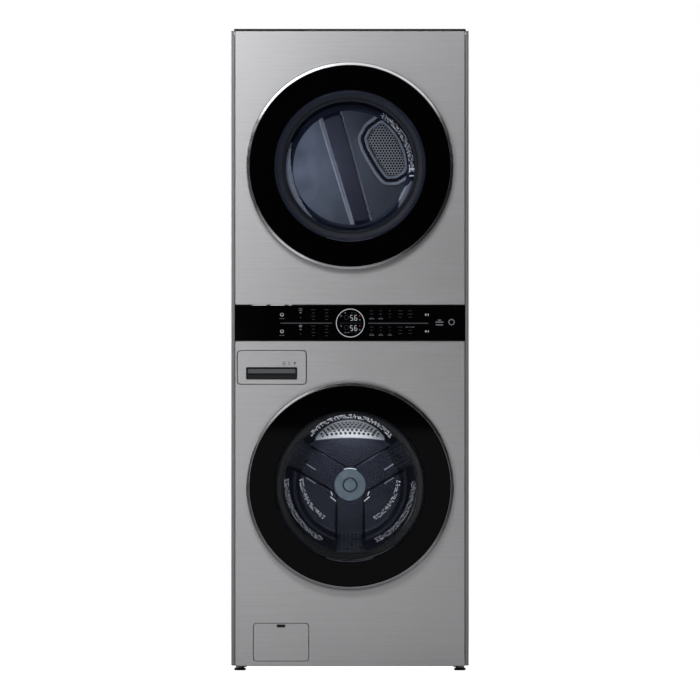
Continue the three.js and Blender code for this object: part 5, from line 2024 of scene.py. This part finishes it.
def build_dryer_drive():
    motor = middle("dryer_motor_shaft")
    x, z = motor.x, motor.z

    def fan(bm):
        outline = [
            (0, -243), (18, -243, 2), (18, -208, 1), (70, -208, 1), (70, -204, 1), (18, -204, 3),
            (6, -200, 1), (6, -49, 0.5), (15, -49, 1), (15, -46, 0.5), (12, -46), (12, -24),
            (15, -24, 0.5), (15, -21, 1), (0, -21),
        ]
        lathe(bm, outline, x, z, 64)
        blade = ((x + 17, x + 68), (-238, -207), (z - 0.9, z + 0.9))
        repeated(bm, lambda: slab(bm, *blade, 0.6), (22.5 * k for k in range(16)), x, z)
    piece("blower_fan", fan, CAST, "dryer_motor_shaft", replaces="dryer_motor_shaft")

    def wheel(bm, centre, outer, bore, y, groove):
        front, back = y
        outline = [
            (bore, front, 0.4), (outer - 1, front, 1), (outer, front + 1.5, 0.6),
            (outer - groove, front + 3, 0.8), (outer - groove, back - 3, 0.8),
            (outer, back - 1.5, 0.6), (outer - 1, back, 1), (bore, back, 0.4),
        ]
        lathe(bm, outline, centre.x, centre.z, 64)
    idler = middle("idler_pulley")
    low, high = span("idler_pulley")
    width = (low.y, high.y)
    piece("belt_idler", lambda bm: wheel(bm, idler, 25, 4.6, width, 1.2), GREY, "idler",
          replaces="idler_pulley")
    for side in ("left", "right"):
        low, high = span(f"drum_roller_{side}")
        centre = middle(f"drum_roller_{side}")
        piece(f"{side}_roller_wheel",
              lambda bm, c=centre, y=(low.y, high.y): wheel(bm, c, 30, 6.6, y, 0.4),
              RUBBER, f"roller_{side}", replaces=f"drum_roller_{side}")


def build_lint_filter():
    low, high = span("lint_filter")
    top = high.z

    def frame_shape(bm):
        outer = rectangle((low.x, high.x), (low.z, top), 6)
        hole = rectangle((low.x + 9, high.x - 9), (low.z + 9, top - 20), 4)
        plate(bm, outer, (-299, -289), 1.2, holes=[hole])
        for k in (-1, 0, 1):
            slab(bm, (k * 36 - 1.5, k * 36 + 1.5), (-297, -290), (low.z + 6, top - 17), 0.6)
        slab(bm, (low.x, -33), (low.y, high.y), (top - 12, top), 2)
        slab(bm, (33, high.x), (low.y, high.y), (top - 12, top), 2)
        slab(bm, (-35, 35), (low.y, -300.2), (top - 12, top), 1.4)
        slab(bm, (-35, 35), (-287.8, high.y), (top - 12, top), 1.4)
    piece("lint_filter_frame", frame_shape, GREY, "lint_filter", replaces="lint_filter")

    def screen(bm):
        count, half = 40, 0.35  # wires each way, and half of one's width
        for k in range(count + 1):
            x = low.x + 6 + (high.x - low.x - 12) * k / count
            slab(bm, (x - half, x + half), (-294.4, -293.7), (low.z + 5, top - 15), 0.1)
        for k in range(count + 1):
            z = low.z + 6 + (top - low.z - 22) * k / count
            slab(bm, (low.x + 5, high.x - 5), (-293.6, -292.9), (z - half, z + half), 0.1)
    piece("lint_filter_mesh", screen, BRIGHT, "lint_filter")


def build_exhaust():
    x, z = EXHAUST_X, EXHAUST_Z
    inside, outside, end = 47.8, 50.4, span("blower_housing")[1].y
    collar = [
        (inside, end - 60), (outside, end - 60), (outside, end - 16, 0.8), (outside + 1, end - 14, 0.8),
        (outside, end - 12, 0.8), (outside, end, 0.5), (inside, end, 0.5),
    ]

    def shape(bm):
        lathe(bm, collar, x, z, 96)
        hole = circle(51.6, x, z, 64)
        plate(bm, centred(x, z, 116, 116, 10), (REAR - 2.6, REAR - 1.2), 0.4, holes=[hole])
    piece("exhaust_collar", shape, ZINC)


# ---- Camera, lights and floor ----

EYE_DISTANCE = 60.0
EYE_HEIGHT = 0.944
VIEW_WIDTH = 2.0615  # width of the view at the front panels
SENSOR = 36.0


def build_camera():
    data = bpy.data.cameras.new("camera")
    data.sensor_width = SENSOR
    data.lens = SENSOR * EYE_DISTANCE / VIEW_WIDTH
    data.clip_end = 400
    camera = bpy.data.objects.new("camera", data)
    camera.location = (0, FACE * MM - EYE_DISTANCE, EYE_HEIGHT)
    camera.rotation_euler = (math.radians(90), 0, 0)
    bpy.context.scene.collection.objects.link(camera)
    bpy.context.scene.camera = camera


def area_light(name, place, target, size, power, color=(1, 1, 1), spread=180):
    """A rectangular light that faces its target; the spread is in degrees."""
    data = bpy.data.lights.new(name, "AREA")
    data.shape = "RECTANGLE"
    data.size, data.size_y = size
    data.energy = power
    data.color = color
    data.spread = math.radians(spread)
    light = bpy.data.objects.new(name, data)
    light.location = place
    direction = Vector(target) - Vector(place)
    light.rotation_euler = direction.to_track_quat("-Z", "Y").to_euler()
    bpy.context.scene.collection.objects.link(light)
    return light


def build_studio():
    scene = bpy.context.scene
    scene.view_settings.view_transform = "Standard"
    scene.view_settings.look = "None"
    world = bpy.data.worlds.new("studio")
    scene.world = world
    world.use_nodes = True
    tree = world.node_tree
    seen = tree.nodes["Background"]
    seen.inputs["Color"].default_value = (1, 1, 1, 1)
    seen.inputs["Strength"].default_value = 1.0
    dim = tree.nodes.new("ShaderNodeBackground")
    dim.inputs["Color"].default_value = (1, 1, 1, 1)
    dim.inputs["Strength"].default_value = AMBIENT
    path = tree.nodes.new("ShaderNodeLightPath")
    mix = tree.nodes.new("ShaderNodeMixShader")
    tree.links.new(path.outputs["Is Camera Ray"], mix.inputs[0])
    tree.links.new(dim.outputs[0], mix.inputs[1])
    tree.links.new(seen.outputs[0], mix.inputs[2])
    tree.links.new(mix.outputs[0], tree.nodes["World Output"].inputs["Surface"])
    for name, settings in LIGHTS.items():
        area_light(name, *settings)
    build_floor()


def build_floor():
    bm = bmesh.new()
    reach = 140.0
    square = ((-reach, -reach), (reach, -reach), (reach, reach), (-reach, reach))
    bm.faces.new([bm.verts.new(Vector((x, y, 0))) for x, y in square])
    mesh = bpy.data.meshes.new("floor")
    bm.to_mesh(mesh)
    bm.free()
    floor = bpy.data.objects.new("floor", mesh)
    bpy.context.scene.collection.objects.link(floor)
    material = bpy.data.materials.new("pale floor")
    material.use_nodes = True
    tree = material.node_tree
    bsdf = tree.nodes["Principled BSDF"]
    bsdf.inputs["Base Color"].default_value = (0.4, 0.4, 0.4, 1)
    bsdf.inputs["Roughness"].default_value = 0.9
    bsdf.inputs["Specular IOR Level"].default_value = 0.0
    bsdf.inputs["Emission Color"].default_value = (1, 1, 1, 1)
    path = tree.nodes.new("ShaderNodeLightPath")
    glow = tree.nodes.new("ShaderNodeMath")
    glow.operation = "MULTIPLY"
    glow.inputs[1].default_value = 1.0
    tree.links.new(path.outputs["Is Camera Ray"], glow.inputs[0])
    tree.links.new(glow.outputs[0], bsdf.inputs["Emission Strength"])
    mesh.materials.append(material)


AMBIENT = 0.02
WHITE_LIGHT = (1, 1, 1)
COOL_LIGHT = (0.85, 0.9, 1.0)
WASHER_UP, DRYER_UP = WASHER * MM, DRYER * MM
LIGHTS = {  # place, target, size, power, and where they aren't plain, colour and spread
    "left_strip": ((-0.6, -4.0, 1.2), (-0.6, 0, 1.2), (0.4, 2.2), 3.4),
    "high_left": ((-0.7, -4.0, 2.6), (-0.7, 0, 2.6), (1.0, 1.1), 14),
    "high_wide": ((0, -4.0, 2.75), (0, 0, 2.75), (2.0, 1.4), 13),
    "low_middle": ((0.1, -3.0, 0.35), (0, -0.3, 0.4), (1.0, 0.7), 1.7),
    "left_far": ((-3.4, -3.4, 1.8), (0, -0.3, 1.0), (2.0, 2.0), 20),
    "above": ((0, 0.4, 4.6), (0, 0.2, 1.6), (2.6, 2.0), 60),
    "back": ((1.5, 4.5, 3.0), (0, 0.3, 1.0), (3.0, 3.0), 150),
    "left_side": ((-5.0, 0.6, 1.8), (-0.3, 0, 0.9), (2.5, 2.5), 90),
    "right_side": ((5.0, 0.6, 1.8), (0.3, 0, 0.9), (2.5, 2.5), 60),
    "washer_lamp": ((0, -0.05, WASHER_UP + 0.19), (0, 0.17, WASHER_UP + 0.165), (0.12, 0.03), 0.05,
                    WHITE_LIGHT, 70),
    "washer_glow": ((0, -0.2, WASHER_UP + 0.02), (0, 0.2, WASHER_UP), (0.3, 0.3), 0.29, COOL_LIGHT),
    "dryer_lamp": ((-0.14, -0.2, DRYER_UP + 0.02), (0.02, 0.21, DRYER_UP), (0.22, 0.32), 0.32, COOL_LIGHT),
}


# ---- The whole scene ----

def build():
    build_camera()
    finish_frame_nodes()
    for side in (-1, 1):
        side_panel(side)
    build_front_panels()
    build_top()
    build_rear()
    build_feet()
    build_controls()
    for prefix, axis in (("washer", WASHER), ("dryer", DRYER)):
        build_door(prefix, axis)
    build_door_bowls()
    build_gasket()
    build_washer_drum()
    build_tub()
    build_washer_drive()
    build_suspension()
    build_drawer()
    build_drain()
    build_latch_surrounds()
    build_rear_wall()
    build_dryer_drum()
    build_front_bulkhead()
    build_dryer_drive()
    build_lint_filter()
    build_exhaust()
    build_studio()


build()
